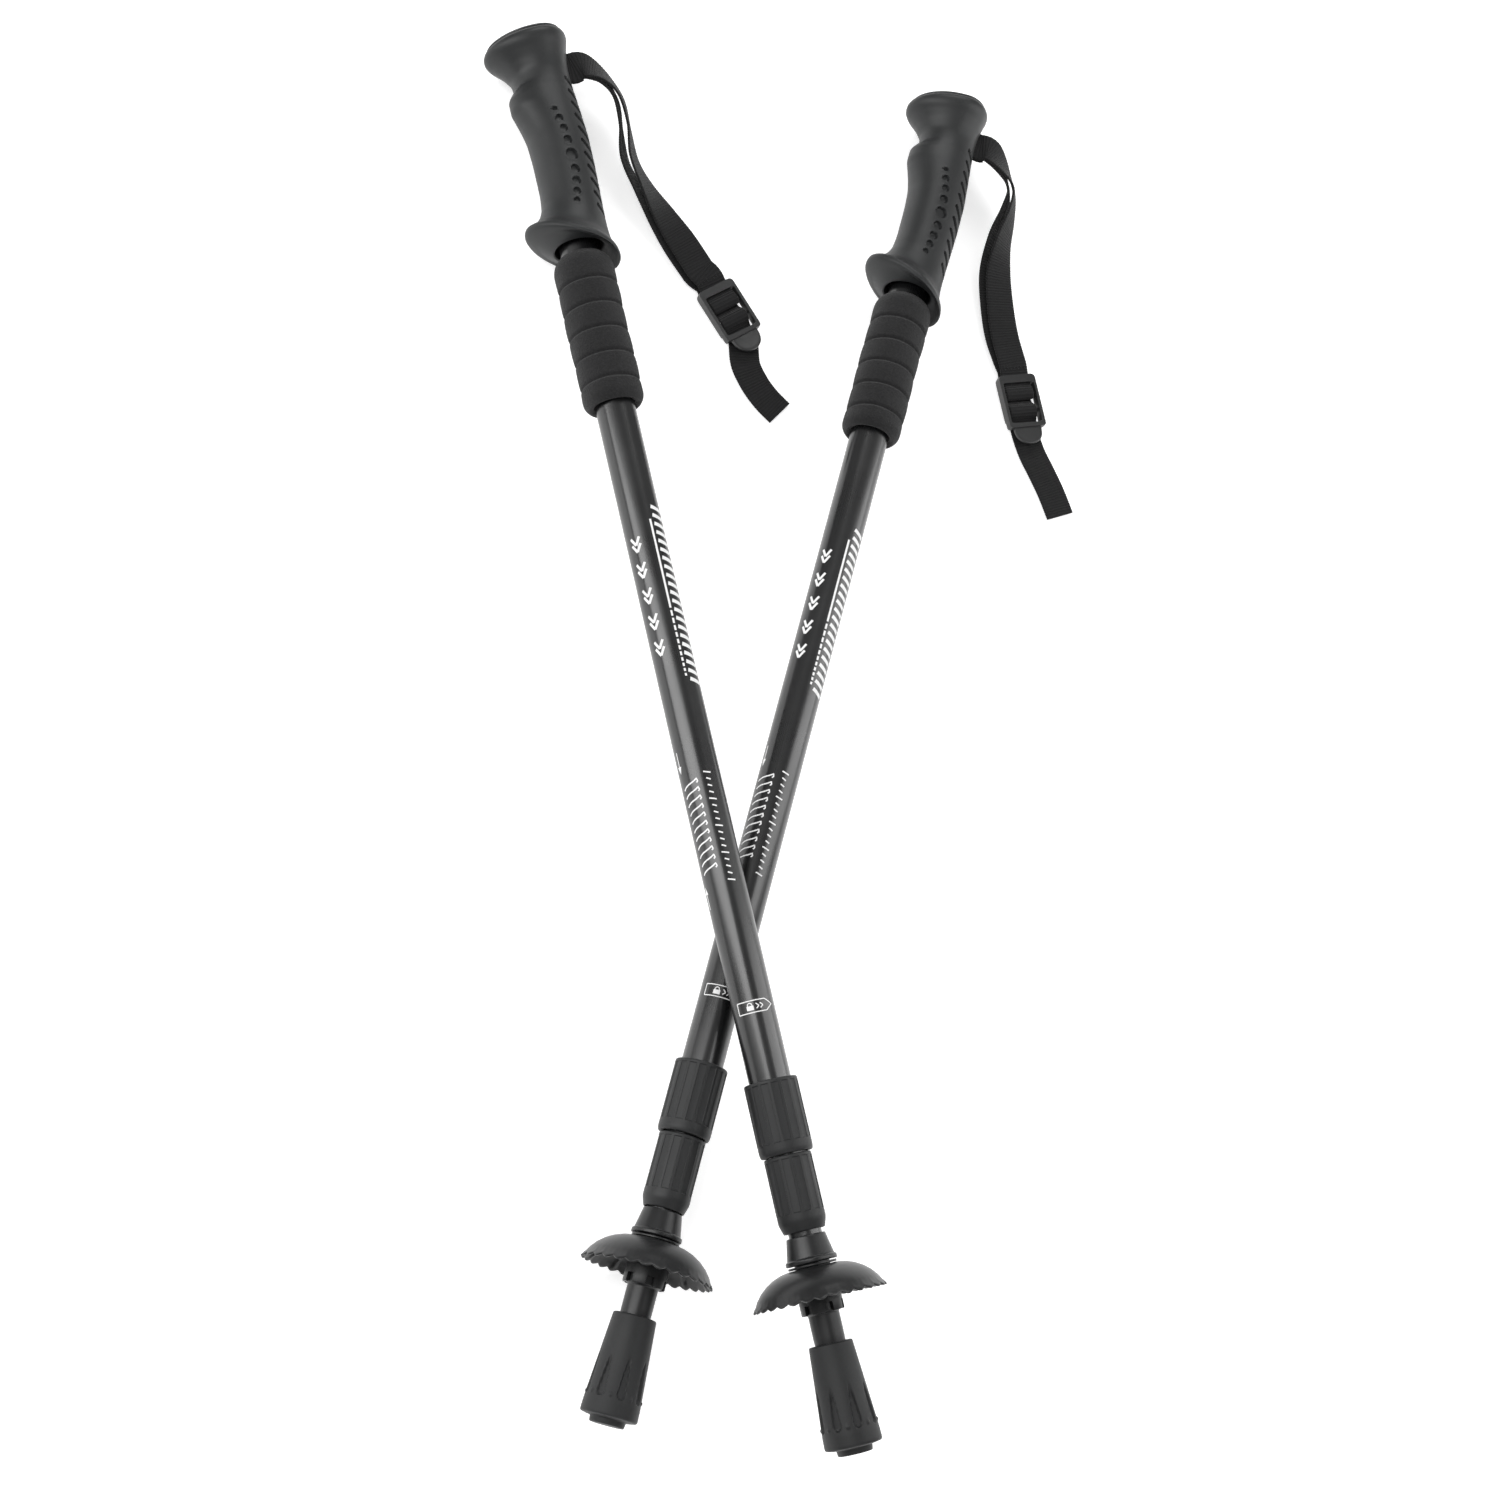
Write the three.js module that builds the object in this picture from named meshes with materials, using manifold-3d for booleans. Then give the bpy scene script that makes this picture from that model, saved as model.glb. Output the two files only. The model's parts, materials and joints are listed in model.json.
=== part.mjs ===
// A pair of telescopic trekking poles, collapsed and lying crossed on flat ground.
// Millimetres, +Z up. +Y points at the grips, and the left pole's grip lies at -X.
// Each pole is built standing on its foot, with its axis on Z, its finger side at +X and
// its printed side at +Y. Heights are measured from the ground face of the rubber foot.
import * as THREE from "three";
import { mergeVertices } from "three/addons/utils/BufferGeometryUtils.js";
import Module from "manifold-3d";

const wasm = await Module();
wasm.setup();

// ---------------------------------------------------------------- driving dimensions
const FIT = 0.3; // clearance between neighbours
const SIDES = 20; // facets round a turned piece

const TUBE = {
  upper: { outer: 9.0, inner: 8.25, bottom: 124.5, top: 596 },
  middle: { outer: 8.0, inner: 7.25, bottom: 92, top: 530 },
  lower: { outer: 7.0, inner: 6.25, bottom: 78.3, top: 480 },
};

const FOOT = { top: 44, base: 3, padRadius: 7.5, baseRadius: 12.2, topRadius: 9.1, flutes: 8 };
const NOSE = { radius: 6.5, tipRadius: 5.2, end: 15, hub: 56 };
const SHANK = { radius: 7.4, top: 76.4 };
const CONE = { lipBottom: 76.8, lipTop: 78.6, lipRadius: 10.8, bottomRadius: 9.9, top: 88, topRadius: 8.2 };
const BASKET = { rimRadius: 27.4, rimHeight: 63.4, domeTop: 75.1, hubRadius: 9, hubBottom: 56.4, teeth: 30 };
const LOWER_COLLAR = { bottom: 89.9, top: 121.3, radius: 10.05, endRadius: 8.7 };
const UPPER_COLLAR = { bottom: 121.8, top: 152.8, radius: 11.4, endRadius: 11.0 };
const FOAM = { bottom: 461.6, top: 536.5, radius: 14, round: 5 };

const SHOCK_TRAVEL = 4; // how far the grip sinks on its spring
const HEAD = { height: 645.7, depth: 18.7 };
const GRIP_BORE = { radius: 10.6, top: 602, springRadius: 8.2, roof: 621.6 };
const STRAP_PIN = { x: -7.5, radius: 1.6, bottom: 625.5, top: 646 };
const STRAP = { width: 15, thickness: 1.3, height: 635.5, mouth: -13.6, hinge: -17 };
const BUCKLE = { length: 27.7, inside: 16.4, rail: 1.9, plate: 4.5, bar: 1.3, innerBar: 0.9, tab: 8.7 };

const CROSSING_ANGLE = THREE.MathUtils.degToRad(13.94); // each pole's turn away from Y
const HEAD_TO_CROSSING = { left: 439.4, right: 447.1 };
const CROSSING_GAP = 0.15; // between the two upper tubes where they cross

// ---------------------------------------------------------------- materials
const MATERIALS = {
  grip: { color: 0x2b2c2e, roughness: 0.55, metalness: 0 },
  cap: { color: 0x232426, roughness: 0.5, metalness: 0 },
  nylon: { color: 0x1d1e20, roughness: 0.45, metalness: 0 },
  tube: { color: 0x0d0e10, roughness: 0.28, metalness: 0.85 },
  foam: { color: 0x1a1b1c, roughness: 0.95, metalness: 0 },
  webbing: { color: 0x101112, roughness: 0.9, metalness: 0 },
  steel: { color: 0x9a9ca0, roughness: 0.35, metalness: 1 },
  rubber: { color: 0x1b1c1e, roughness: 0.7, metalness: 0 },
  carbide: { color: 0x6d6f74, roughness: 0.3, metalness: 1 },
};

// ---------------------------------------------------------------- solids
// A closed three.js geometry as a solid that can be joined and cut.
function solid(geometry) {
  const shell = geometry.clone();
  for (const name of Object.keys(shell.attributes)) {
    if (name !== "position") shell.deleteAttribute(name);
  }
  const merged = mergeVertices(shell, 1e-4);
  const corners = merged.index.array;
  const triangles = [];
  for (let i = 0; i < corners.length; i += 3) {
    const [a, b, c] = [corners[i], corners[i + 1], corners[i + 2]];
    if (a !== b && b !== c && c !== a) triangles.push(a, b, c);
  }
  return new wasm.Manifold(
    new wasm.Mesh({
      numProp: 3,
      vertProperties: merged.attributes.position.array,
      triVerts: new Uint32Array(triangles),
    }),
  );
}

// The solid's surface as a geometry that a mesh can carry.
function surface(body) {
  const { vertProperties, triVerts } = body.getMesh();
  const geometry = new THREE.BufferGeometry();
  geometry.setAttribute("position", new THREE.BufferAttribute(vertProperties, 3));
  geometry.setIndex(new THREE.BufferAttribute(triVerts, 1));
  geometry.computeVertexNormals();
  return geometry;
}

// Moves every vertex of a geometry by a rule that takes and returns a Vector3.
function shaped(geometry, rule) {
  const position = geometry.attributes.position;
  const point = new THREE.Vector3();
  for (let i = 0; i < position.count; i += 1) {
    point.fromBufferAttribute(position, i);
    const moved = rule(point);
    position.setXYZ(i, moved.x, moved.y, moved.z);
  }
  return geometry;
}

// A closed outline of [radius, height] turned about Z. It runs up the outside.
function lathe(outline, sides = SIDES) {
  const points = [...outline, outline[0]].map(([r, z]) => new THREE.Vector2(r, z));
  return new THREE.LatheGeometry(points, sides).rotateX(Math.PI / 2);
}

function turned(outline, sides = SIDES) {
  return solid(lathe(outline, sides));
}

function ring(inner, outer, bottom, top, sides = SIDES) {
  return turned([[inner, bottom], [outer, bottom], [outer, top], [inner, top]], sides);
}

function disc(radius, bottom, top, sides = SIDES) {
  return turned([[0, bottom], [radius, bottom], [radius, top], [0, top]], sides);
}

function block(width, depth, height, x, y, z, turn = 0) {
  const geometry = new THREE.BoxGeometry(width, depth, height).translate(x, y, z);
  return solid(geometry.rotateZ(turn));
}

// A round rod between two points.
function rod(radius, from, to, sides = 12) {
  const along = new THREE.Vector3().subVectors(to, from);
  const geometry = new THREE.CylinderGeometry(radius, radius, along.length(), sides);
  const turn = new THREE.Quaternion().setFromUnitVectors(
    new THREE.Vector3(0, 1, 0),
    along.clone().normalize(),
  );
  const middle = new THREE.Vector3().addVectors(from, to).multiplyScalar(0.5);
  return solid(geometry.applyQuaternion(turn).translate(middle.x, middle.y, middle.z));
}

// Points of a quarter-round edge of an outline, between two angles in degrees.
function arc(r, z, radius, from, to, steps = 3) {
  return Array.from({ length: steps + 1 }, (_, i) => {
    const angle = THREE.MathUtils.degToRad(from + ((to - from) * i) / steps);
    return [r + radius * Math.cos(angle), z + radius * Math.sin(angle)];
  });
}

// ---------------------------------------------------------------- grip
// The moulding's cross-sections from the flange up: height on the axis, reach to the front,
// to the back and to each side, and the section's rise towards the front.
const GRIP_SECTIONS = [
  { z: 540.9, front: 11.9, back: 11.9, side: 11.9, rise: 0 },
  { z: 541.2, front: 15.0, back: 14.6, side: 14.8, rise: 0.16 },
  { z: 540.0, front: 21.4, back: 16.8, side: 17.8, rise: 0.4 },
  { z: 541.8, front: 23.4, back: 18.0, side: 18.8, rise: 0.42 },
  { z: 543.6, front: 22.4, back: 17.6, side: 18.2, rise: 0.42 },
  { z: 546.4, front: 19.4, back: 16.4, side: 16.2, rise: 0.42 },
  { z: 551.6, front: 15.8, back: 15.4, side: 14.2, rise: 0.38 },
  { z: 559.0, front: 13.2, back: 15.4, side: 13.4, rise: 0.24 },
  { z: 570.0, front: 12.1, back: 15.9, side: 13.3, rise: 0.06 },
  { z: 596.0, front: 12.5, back: 16.3, side: 13.7, rise: 0 },
  { z: 610.0, front: 15.8, back: 15.4, side: 13.4, rise: 0 },
  { z: 615.0, front: 17.1, back: 15.0, side: 13.1, rise: 0 },
  { z: 619.0, front: 16.9, back: 14.7, side: 12.9, rise: 0 },
  { z: 622.0, front: 15.0, back: 14.4, side: 12.7, rise: 0 },
  { z: 625.0, front: 13.4, back: 14.2, side: 12.7, rise: 0 },
  { z: 629.5, front: 14.1, back: 14.0, side: 13.1, rise: 0 },
  { z: 634.0, front: 16.9, back: 13.9, side: 14.3, rise: -0.02 },
  { z: 642.5, front: 23.1, back: 15.2, side: 18.1, rise: -0.12 },
  { z: 645.7, front: 24.3, back: 16.0, side: 18.7, rise: -0.14 },
  { z: 647.4, front: 23.6, back: 15.2, side: 18.0, rise: -0.14 },
  { z: 648.2, front: 21.4, back: 13.2, side: 16.0, rise: -0.14 },
];

// One section's point for a unit circle's point.
function onSection({ z, front, back, side, rise }, unit) {
  const x = unit.x * (unit.x > 0 ? front : back);
  return new THREE.Vector3(x, unit.y * side, z + rise * x);
}

// A solid skinned over cross-sections, closed by a point in the middle of each end.
function skinned(sections, sides) {
  const outline = [[0, -1], ...sections.map((_, i) => [1, i]), [0, sections.length]];
  const points = outline.map(([r, z]) => new THREE.Vector2(r, z));
  const geometry = new THREE.LatheGeometry(points, sides).rotateX(Math.PI / 2);
  return solid(
    shaped(geometry, (point) => {
      const index = THREE.MathUtils.clamp(Math.round(point.z), 0, sections.length - 1);
      return onSection(sections[index], point);
    }),
  );
}

function grip() {
  const slot = { length: 22, width: 8.6, height: STRAP.width + 1.4, end: STRAP_PIN.x + 5 };
  return skinned(GRIP_SECTIONS, 20)
    .subtract(disc(11, 530, 551.5))
    .subtract(disc(GRIP_BORE.radius, 550, GRIP_BORE.top))
    .subtract(disc(GRIP_BORE.springRadius, 601, GRIP_BORE.roof))
    .subtract(block(slot.length, slot.width, slot.height, slot.end - slot.length / 2, 0, STRAP.height))
    .subtract(
      rod(
        STRAP_PIN.radius + 0.15,
        new THREE.Vector3(STRAP_PIN.x, 0, STRAP_PIN.bottom - 0.4),
        new THREE.Vector3(STRAP_PIN.x, 0, 660),
      ),
    );
}

// The cap closes the head's top with a shallow dome that follows the head's tilt.
function gripCap() {
  const level = (z, scale) => ({
    z,
    front: 22.2 * scale,
    back: 14.0 * scale,
    side: 16.8 * scale,
    rise: -0.14,
  });
  const layers = [level(648.55, 1), level(649.6, 0.98), level(650.8, 0.8), level(651.7, 0.4)];
  return skinned(layers, 18);
}

function strapPin() {
  const bottom = new THREE.Vector3(STRAP_PIN.x, 0, STRAP_PIN.bottom);
  return rod(STRAP_PIN.radius, bottom, bottom.clone().setZ(STRAP_PIN.top));
}

// The webbing's turn round the pin, inside the head.
function strapRoot() {
  const inner = STRAP_PIN.radius + FIT;
  const outer = inner + STRAP.thickness;
  const shape = new THREE.Shape();
  shape.absarc(STRAP_PIN.x, 0, outer, -Math.PI / 2, Math.PI / 2, false);
  shape.lineTo(STRAP_PIN.x - 2.4, outer);
  shape.lineTo(STRAP.mouth, STRAP.thickness + 0.1);
  shape.lineTo(STRAP.mouth, 0.1);
  shape.lineTo(STRAP_PIN.x - 2.4, inner);
  shape.lineTo(STRAP_PIN.x, inner);
  shape.absarc(STRAP_PIN.x, 0, inner, Math.PI / 2, -Math.PI / 2, true);
  shape.lineTo(STRAP_PIN.x - 2.4, -inner);
  shape.lineTo(STRAP.mouth, -0.1);
  shape.lineTo(STRAP.mouth, -STRAP.thickness - 0.1);
  shape.lineTo(STRAP_PIN.x - 2.4, -outer);
  const geometry = new THREE.ExtrudeGeometry(shape, {
    depth: STRAP.width,
    bevelEnabled: false,
    curveSegments: 6,
  });
  return solid(geometry.translate(0, 0, STRAP.height - STRAP.width / 2));
}

// The sleeve that the upper tube slides in, with a slot on each side for the stroke pin.
function gripLiner() {
  const slot = { bottom: 564.2, height: SHOCK_TRAVEL + 3.6 };
  return ring(TUBE.upper.outer + FIT, GRIP_BORE.radius - FIT, 552, 593, 16).subtract(
    block(3.2, 30, slot.height, 0, 0, slot.bottom + slot.height / 2),
  );
}

// A coil spring with its wire bent from a straight rod.
function shockSpring() {
  const wire = 0.9;
  const coil = { radius: 6.4, turns: 5, bottom: 603.6, top: 620.2 };
  const geometry = new THREE.CylinderGeometry(wire, wire, 1, 5, 38);
  return solid(
    shaped(geometry, (point) => {
      const along = point.y + 0.5;
      const angle = along * coil.turns * 2 * Math.PI;
      const radius = coil.radius + point.x;
      const height = coil.bottom + (coil.top - coil.bottom) * along;
      return new THREE.Vector3(radius * Math.cos(angle), radius * Math.sin(angle), height + point.z);
    }),
  );
}

// ---------------------------------------------------------------- upper section
function tubeTopPlug() {
  return turned([
    [0, 585],
    [7.6, 585],
    [TUBE.upper.inner - 0.2, 586],
    [TUBE.upper.inner - 0.2, 596.3],
    [7.8, 596.3],
    [7.8, 598.6],
    [3, 599],
    [3, 609],
    [0, 610],
  ], 14);
}

function strokePin() {
  const end = GRIP_BORE.radius - FIT;
  return rod(1.2, new THREE.Vector3(0, -end, 566), new THREE.Vector3(0, end, 566));
}

function upperTube() {
  const { outer, inner, bottom, top } = TUBE.upper;
  const pinHole = rod(1.45, new THREE.Vector3(0, -20, 566), new THREE.Vector3(0, 20, 566));
  return ring(inner, outer, bottom, top, 28).subtract(pinHole);
}

function foamGrip() {
  const { bottom, top, radius, round } = FOAM;
  const bore = TUBE.upper.outer + 0.2;
  const side = radius - round;
  return turned([
    [bore, bottom + 1.5],
    ...arc(side + 1, bottom + round - 1, round - 1, -90, 0),
    ...arc(side, top - round, round, 0, 88),
    [bore, top - 0.5],
  ]);
}

// A collar over a tube's lower end, fluted above a plain band, with a bush for the next tube.
function collar({ bottom, top, radius, endRadius }, tube, next, taper, flutes) {
  const seat = tube.outer + 0.2;
  const bush = next.outer + 0.2;
  const step = tube.bottom - FIT;
  const body = turned([
    [bush, bottom],
    [endRadius, bottom],
    [radius, bottom + taper],
    [radius, top - 0.8],
    [radius - 0.6, top],
    [seat, top],
    [seat, step],
    [bush, step],
  ]);
  const length = top - bottom - taper - 7.5;
  const middle = top - 2.5 - length / 2;
  const cuts = Array.from({ length: flutes }, (_, i) =>
    block(1.2, 1.9, length, radius + 0.05, 0, middle, ((i + 0.5) / flutes) * 2 * Math.PI),
  );
  return cuts.reduce((left, cut) => left.subtract(cut), body);
}

// ---------------------------------------------------------------- twist locks
// A split sleeve, a wedge nut in its cone, a threaded stud and the plug that holds the stud.
function twistLock(tube, around) {
  const base = tube.top;
  const reach = around.inner - 0.25;
  const sleeve = turned([
    [3.4, base + 2],
    [reach - 0.8, base + 2],
    [reach, base + 3],
    [reach, base + 22],
    [reach - 0.8, base + 23],
    [5.6, base + 23],
    [3.4, base + 12],
  ]).subtract(block(20, 1.6, 30, 10, 0, base + 12));
  const wedge = turned([
    [2.5, base + 14],
    [3.2, base + 14],
    [5.2, base + 24.5],
    [5.2, base + 27],
    [2.5, base + 27],
  ], 16);
  const stud = turned([
    [0, base - 9],
    [2.1, base - 9],
    [2.1, base + 32],
    [3.4, base + 32.4],
    [3.4, base + 34],
    [0, base + 34],
  ], 12);
  const plug = turned([
    [2.35, base - 12],
    [tube.inner - 0.2, base - 12],
    [tube.inner - 0.2, base + 0.3],
    [tube.outer - 0.4, base + 0.3],
    [tube.outer - 0.4, base + 1.5],
    [2.35, base + 1.5],
  ], 16);
  return { sleeve, wedge, stud, plug };
}

// ---------------------------------------------------------------- tip
function ferrule() {
  const socket = { radius: TUBE.lower.outer + 0.15, bottom: 78 };
  return turned([
    [0, NOSE.end + 5],
    [2.6, NOSE.end + 5],
    [2.6, NOSE.end],
    [NOSE.tipRadius - 0.8, NOSE.end],
    [NOSE.tipRadius, NOSE.end + 1.4],
    [NOSE.radius, FOOT.top + 2],
    [NOSE.radius, NOSE.hub],
    [SHANK.radius, NOSE.hub + 0.8],
    [SHANK.radius, SHANK.top],
    [CONE.lipRadius - 0.7, CONE.lipBottom],
    [CONE.lipRadius, CONE.lipBottom + 0.6],
    [CONE.lipRadius, CONE.lipTop],
    [CONE.bottomRadius, CONE.lipTop + 0.5],
    [CONE.topRadius, CONE.top],
    [socket.radius, CONE.top],
    [socket.radius, socket.bottom],
    [0, socket.bottom],
  ], 18);
}

function tipInsert() {
  return turned([
    [0, NOSE.end - 1.6],
    [1.2, NOSE.end - 2.4],
    [1.9, NOSE.end - 2],
    [2.3, NOSE.end + 4.6],
    [0, NOSE.end + 4.6],
  ], 12);
}

function basketWasher() {
  return ring(SHANK.radius + FIT, 10.2, BASKET.domeTop + FIT, SHANK.top - 0.1);
}

// A shallow bell with a toothed rim and a castellated hub below.
function basket() {
  const { rimRadius, rimHeight, domeTop, hubRadius, hubBottom, teeth } = BASKET;
  const bore = SHANK.radius + FIT;
  const wall = 1.5;
  const rise = domeTop - rimHeight;
  const reach = rimRadius - 9.4;
  const dome = (turn, offset) => {
    const angle = THREE.MathUtils.degToRad(turn);
    const x = 9.4 + reach * Math.sin(angle);
    return [x - offset * 0.5, rimHeight + rise * Math.cos(angle) - offset];
  };
  const outline = [
    [bore, hubBottom],
    [hubRadius, hubBottom],
    [hubRadius, domeTop - 3.2],
    dome(42, wall),
    [rimRadius - 1.2, rimHeight],
    [rimRadius + 0.5, rimHeight + 0.3],
    ...[62, 30, 0].map((turn) => dome(turn, 0)),
    [bore, domeTop],
  ];
  const geometry = shaped(lathe(outline, 2 * teeth), (point) => {
    const radius = Math.hypot(point.x, point.y);
    const tooth = Math.round((Math.atan2(point.y, point.x) / Math.PI) * teeth) % 2 !== 0;
    if (radius > rimRadius - 1.5 && point.z < rimHeight + 1 && tooth) point.z -= 1.1;
    return point;
  });
  const notches = Array.from({ length: 3 }, (_, i) =>
    block(24, 3.2, 3.6, 0, 0, hubBottom + 1.2, ((i + 0.5) / 3) * Math.PI),
  );
  return notches.reduce((left, cut) => left.subtract(cut), solid(geometry));
}

// The pull-off rubber foot: a flared boot with upright flutes and a raised ground pad.
function rubberFoot() {
  const { top, base, padRadius, baseRadius, topRadius, flutes } = FOOT;
  const socket = NOSE.radius + FIT;
  const boot = turned([
    [0, 0],
    [padRadius - 0.6, 0],
    [padRadius, 0.8],
    [padRadius, base - 0.6],
    [baseRadius - 0.8, base],
    [baseRadius, base + 0.8],
    [topRadius, top - 0.6],
    [topRadius - 0.6, top],
    [socket, top],
    [NOSE.tipRadius + 0.5, NOSE.end],
    [3.2, NOSE.end - 3.4],
    [0, NOSE.end - 3.4],
  ]);
  const cuts = Array.from({ length: flutes }, (_, i) => {
    const turn = ((i + 0.5) / flutes) * 2 * Math.PI;
    const out = (radius, z) => new THREE.Vector3(radius * Math.cos(turn), radius * Math.sin(turn), z);
    return rod(1.3, out(baseRadius - 0.2, 11), out(topRadius + 2.4, 27), 5);
  });
  return cuts.reduce((left, cut) => left.subtract(cut), boot);
}

// ---------------------------------------------------------------- placing the poles
// The frame of a pole lying on the ground, from its standing frame.
function poleFrame(side) {
  const sign = side === "left" ? -1 : 1;
  const rimHeight = BASKET.rimRadius + 0.5;
  const headToRim = HEAD.height - BASKET.rimHeight;
  const rightSlope = Math.asin((rimHeight - HEAD.depth) / headToRim);
  const crossingHeight = HEAD.depth + HEAD_TO_CROSSING.right * Math.sin(rightSlope);
  const lift = 2 * TUBE.upper.outer + CROSSING_GAP;
  const leftSlope = Math.asin((crossingHeight + lift - HEAD.depth) / HEAD_TO_CROSSING.left);
  const slope = side === "left" ? leftSlope : rightSlope;
  const along = new THREE.Vector3(
    sign * Math.sin(CROSSING_ANGLE) * Math.cos(slope),
    Math.cos(CROSSING_ANGLE) * Math.cos(slope),
    -Math.sin(slope),
  );
  const up = new THREE.Vector3(0, 0, 1).addScaledVector(along, -along.z).normalize();
  const finger = new THREE.Vector3().crossVectors(up, along);
  const head = along.clone().multiplyScalar(HEAD_TO_CROSSING[side]);
  head.z = HEAD.depth;
  const frame = new THREE.Matrix4().makeBasis(finger, up, along);
  const origin = head.addScaledVector(along, -HEAD.height);
  return frame.setPosition(origin);
}

// ---------------------------------------------------------------- wrist strap
// Where each strap lies on the ground: its middle line from just outside the grip to the buckle,
// the bank of its width out of the ground plane, and how far its two strands stand apart.
const STRAP_ROUTE = {
  left: [
    { at: [-81.6, 422.2, 19.9], bank: -14, apart: 1.7 },
    { at: [-71.6, 419.0, 18.6], bank: -44, apart: 1.9 },
    { at: [-63.1, 411.2, 16.2], bank: -60, apart: 2.6 },
    { at: [-58.6, 397.8, 13.4], bank: -68, apart: 3.8 },
    { at: [-54.9, 383.1, 10.6], bank: -56, apart: 4.4 },
    { at: [-46.6, 370.9, 8.0], bank: -42, apart: 3.4 },
    { at: [-36.5, 359.3, 5.6], bank: -18, apart: 2.4 },
    { at: [-27.4, 347.4, 4.6], bank: -2, apart: 2.2 },
    { at: [-18.0, 333.8, 4.2], bank: 0, apart: 2.6 },
  ],
  right: [
    { at: [126.9, 418.6, 20.2], bank: -10, apart: 1.7 },
    { at: [134.2, 410.6, 18.8], bank: -40, apart: 1.9 },
    { at: [139.6, 401.0, 16.4], bank: -62, apart: 2.6 },
    { at: [138.9, 389.3, 13.4], bank: -58, apart: 3.8 },
    { at: [135.8, 374.8, 10.4], bank: -40, apart: 4.4 },
    { at: [135.2, 358.8, 7.4], bank: -14, apart: 3.4 },
    { at: [137.4, 342.1, 5.4], bank: -4, apart: 2.4 },
    { at: [140.2, 327.8, 4.4], bank: 0, apart: 2.2 },
    { at: [142.6, 315.8, 4.2], bank: 0, apart: 2.6 },
  ],
};
const BUCKLE_PLACE = {
  left: {
    at: [-10.0, 328.4],
    towards: [5.7, 306.0],
    tail: [[7.8, 293.6], [12.2, 284.4], [18.4, 276.6], [25.9, 270.1]],
  },
  right: {
    at: [146.4, 307.7],
    towards: [152.6, 281.8],
    tail: [[156.6, 269.8], [161.6, 260.4], [167.0, 249.8], [171.7, 238.5]],
  },
};
// The webbing's way through the buckle, as distances along it and heights over the ground.
const SEWN_END = [
  [-4.5, 4.9], [0.5, 4.0], [4.5, 4.0], [6.6, 4.7], [8.2, 5.4], [9.6, 5.65],
  [11.2, 5.2], [12.2, 3.9], [11.4, 2.7], [9.6, 2.3], [6.8, 2.35],
];
const THREADED_END = [
  [-4.5, 1.7], [1.0, 0.95], [8.0, 0.95], [12.6, 1.0], [14.6, 2.4], [16.4, 4.4],
  [18.2, 5.05], [20.2, 4.4], [21.6, 2.8], [24.1, 1.3], [28.5, 0.95],
];
const GROUND_WEB = 0.95; // the middle of webbing that lies flat on the ground
const FRAME_MIDDLE = 4.0; // the middle height of the buckle's rails
const INNER_BARS = [[9.6, 4.0], [18.2, 3.4]]; // distance and height

// A strip of webbing swept along a middle line, each station with its own width direction.
function strip(stations, thickness = STRAP.thickness) {
  const steps = stations.length - 1;
  const { width } = STRAP;
  const geometry = new THREE.BoxGeometry(width, thickness, steps, 1, 1, steps);
  return solid(
    shaped(geometry, (point) => {
      const { middle, across, face } = stations[Math.round(point.z + steps / 2)];
      return middle.clone().addScaledVector(across, point.x).addScaledVector(face, point.y);
    }),
  );
}

// Stations of a line that keeps one width direction.
function levelStations(points, across) {
  return points.map((middle, i) => {
    const before = points[Math.max(i - 1, 0)];
    const after = points[Math.min(i + 1, points.length - 1)];
    const along = new THREE.Vector3().subVectors(after, before).normalize();
    return { middle, across, face: new THREE.Vector3().crossVectors(along, across) };
  });
}

// Stations with their width and face directions, from points and bank angles.
function stationsOf(points, banks) {
  return points.map((middle, i) => {
    const before = points[Math.max(i - 1, 0)];
    const after = points[Math.min(i + 1, points.length - 1)];
    const along = new THREE.Vector3().subVectors(after, before).normalize();
    const level = new THREE.Vector3(0, 0, 1).cross(along).normalize();
    const upright = new THREE.Vector3().crossVectors(along, level);
    const bank = THREE.MathUtils.degToRad(banks[i]);
    const across = level.multiplyScalar(Math.cos(bank)).addScaledVector(upright, Math.sin(bank));
    return { middle, across, face: new THREE.Vector3().crossVectors(along, across) };
  });
}

function buckleFrame(side) {
  const { at, towards } = BUCKLE_PLACE[side];
  const start = new THREE.Vector3(at[0], at[1], 0);
  const along = new THREE.Vector3(towards[0], towards[1], 0).sub(start).normalize();
  const across = new THREE.Vector3(0, 0, 1).cross(along);
  const place = (distance, height) => start.clone().addScaledVector(along, distance).setZ(height);
  return { start, along, across, place };
}

// The strap's own line, smoothed through its route, with bank and spread at each station.
function strapLine(side, count) {
  const frame = poleFrame(side);
  const root = new THREE.Vector3(STRAP.hinge - FIT, 0, STRAP.height).applyMatrix4(frame);
  const route = [{ at: root.toArray(), bank: 0, apart: STRAP.thickness + 0.1 }, ...STRAP_ROUTE[side]];
  const curve = new THREE.CatmullRomCurve3(route.map(({ at }) => new THREE.Vector3(...at)));
  const between = (key, t) => {
    const place = t * (route.length - 1);
    const i = Math.min(Math.floor(place), route.length - 2);
    return THREE.MathUtils.lerp(route[i][key], route[i + 1][key], place - i);
  };
  return Array.from({ length: count + 1 }, (_, i) => {
    const t = i / count;
    return { middle: curve.getPoint(t), bank: between("bank", t), apart: between("apart", t) };
  });
}

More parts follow.
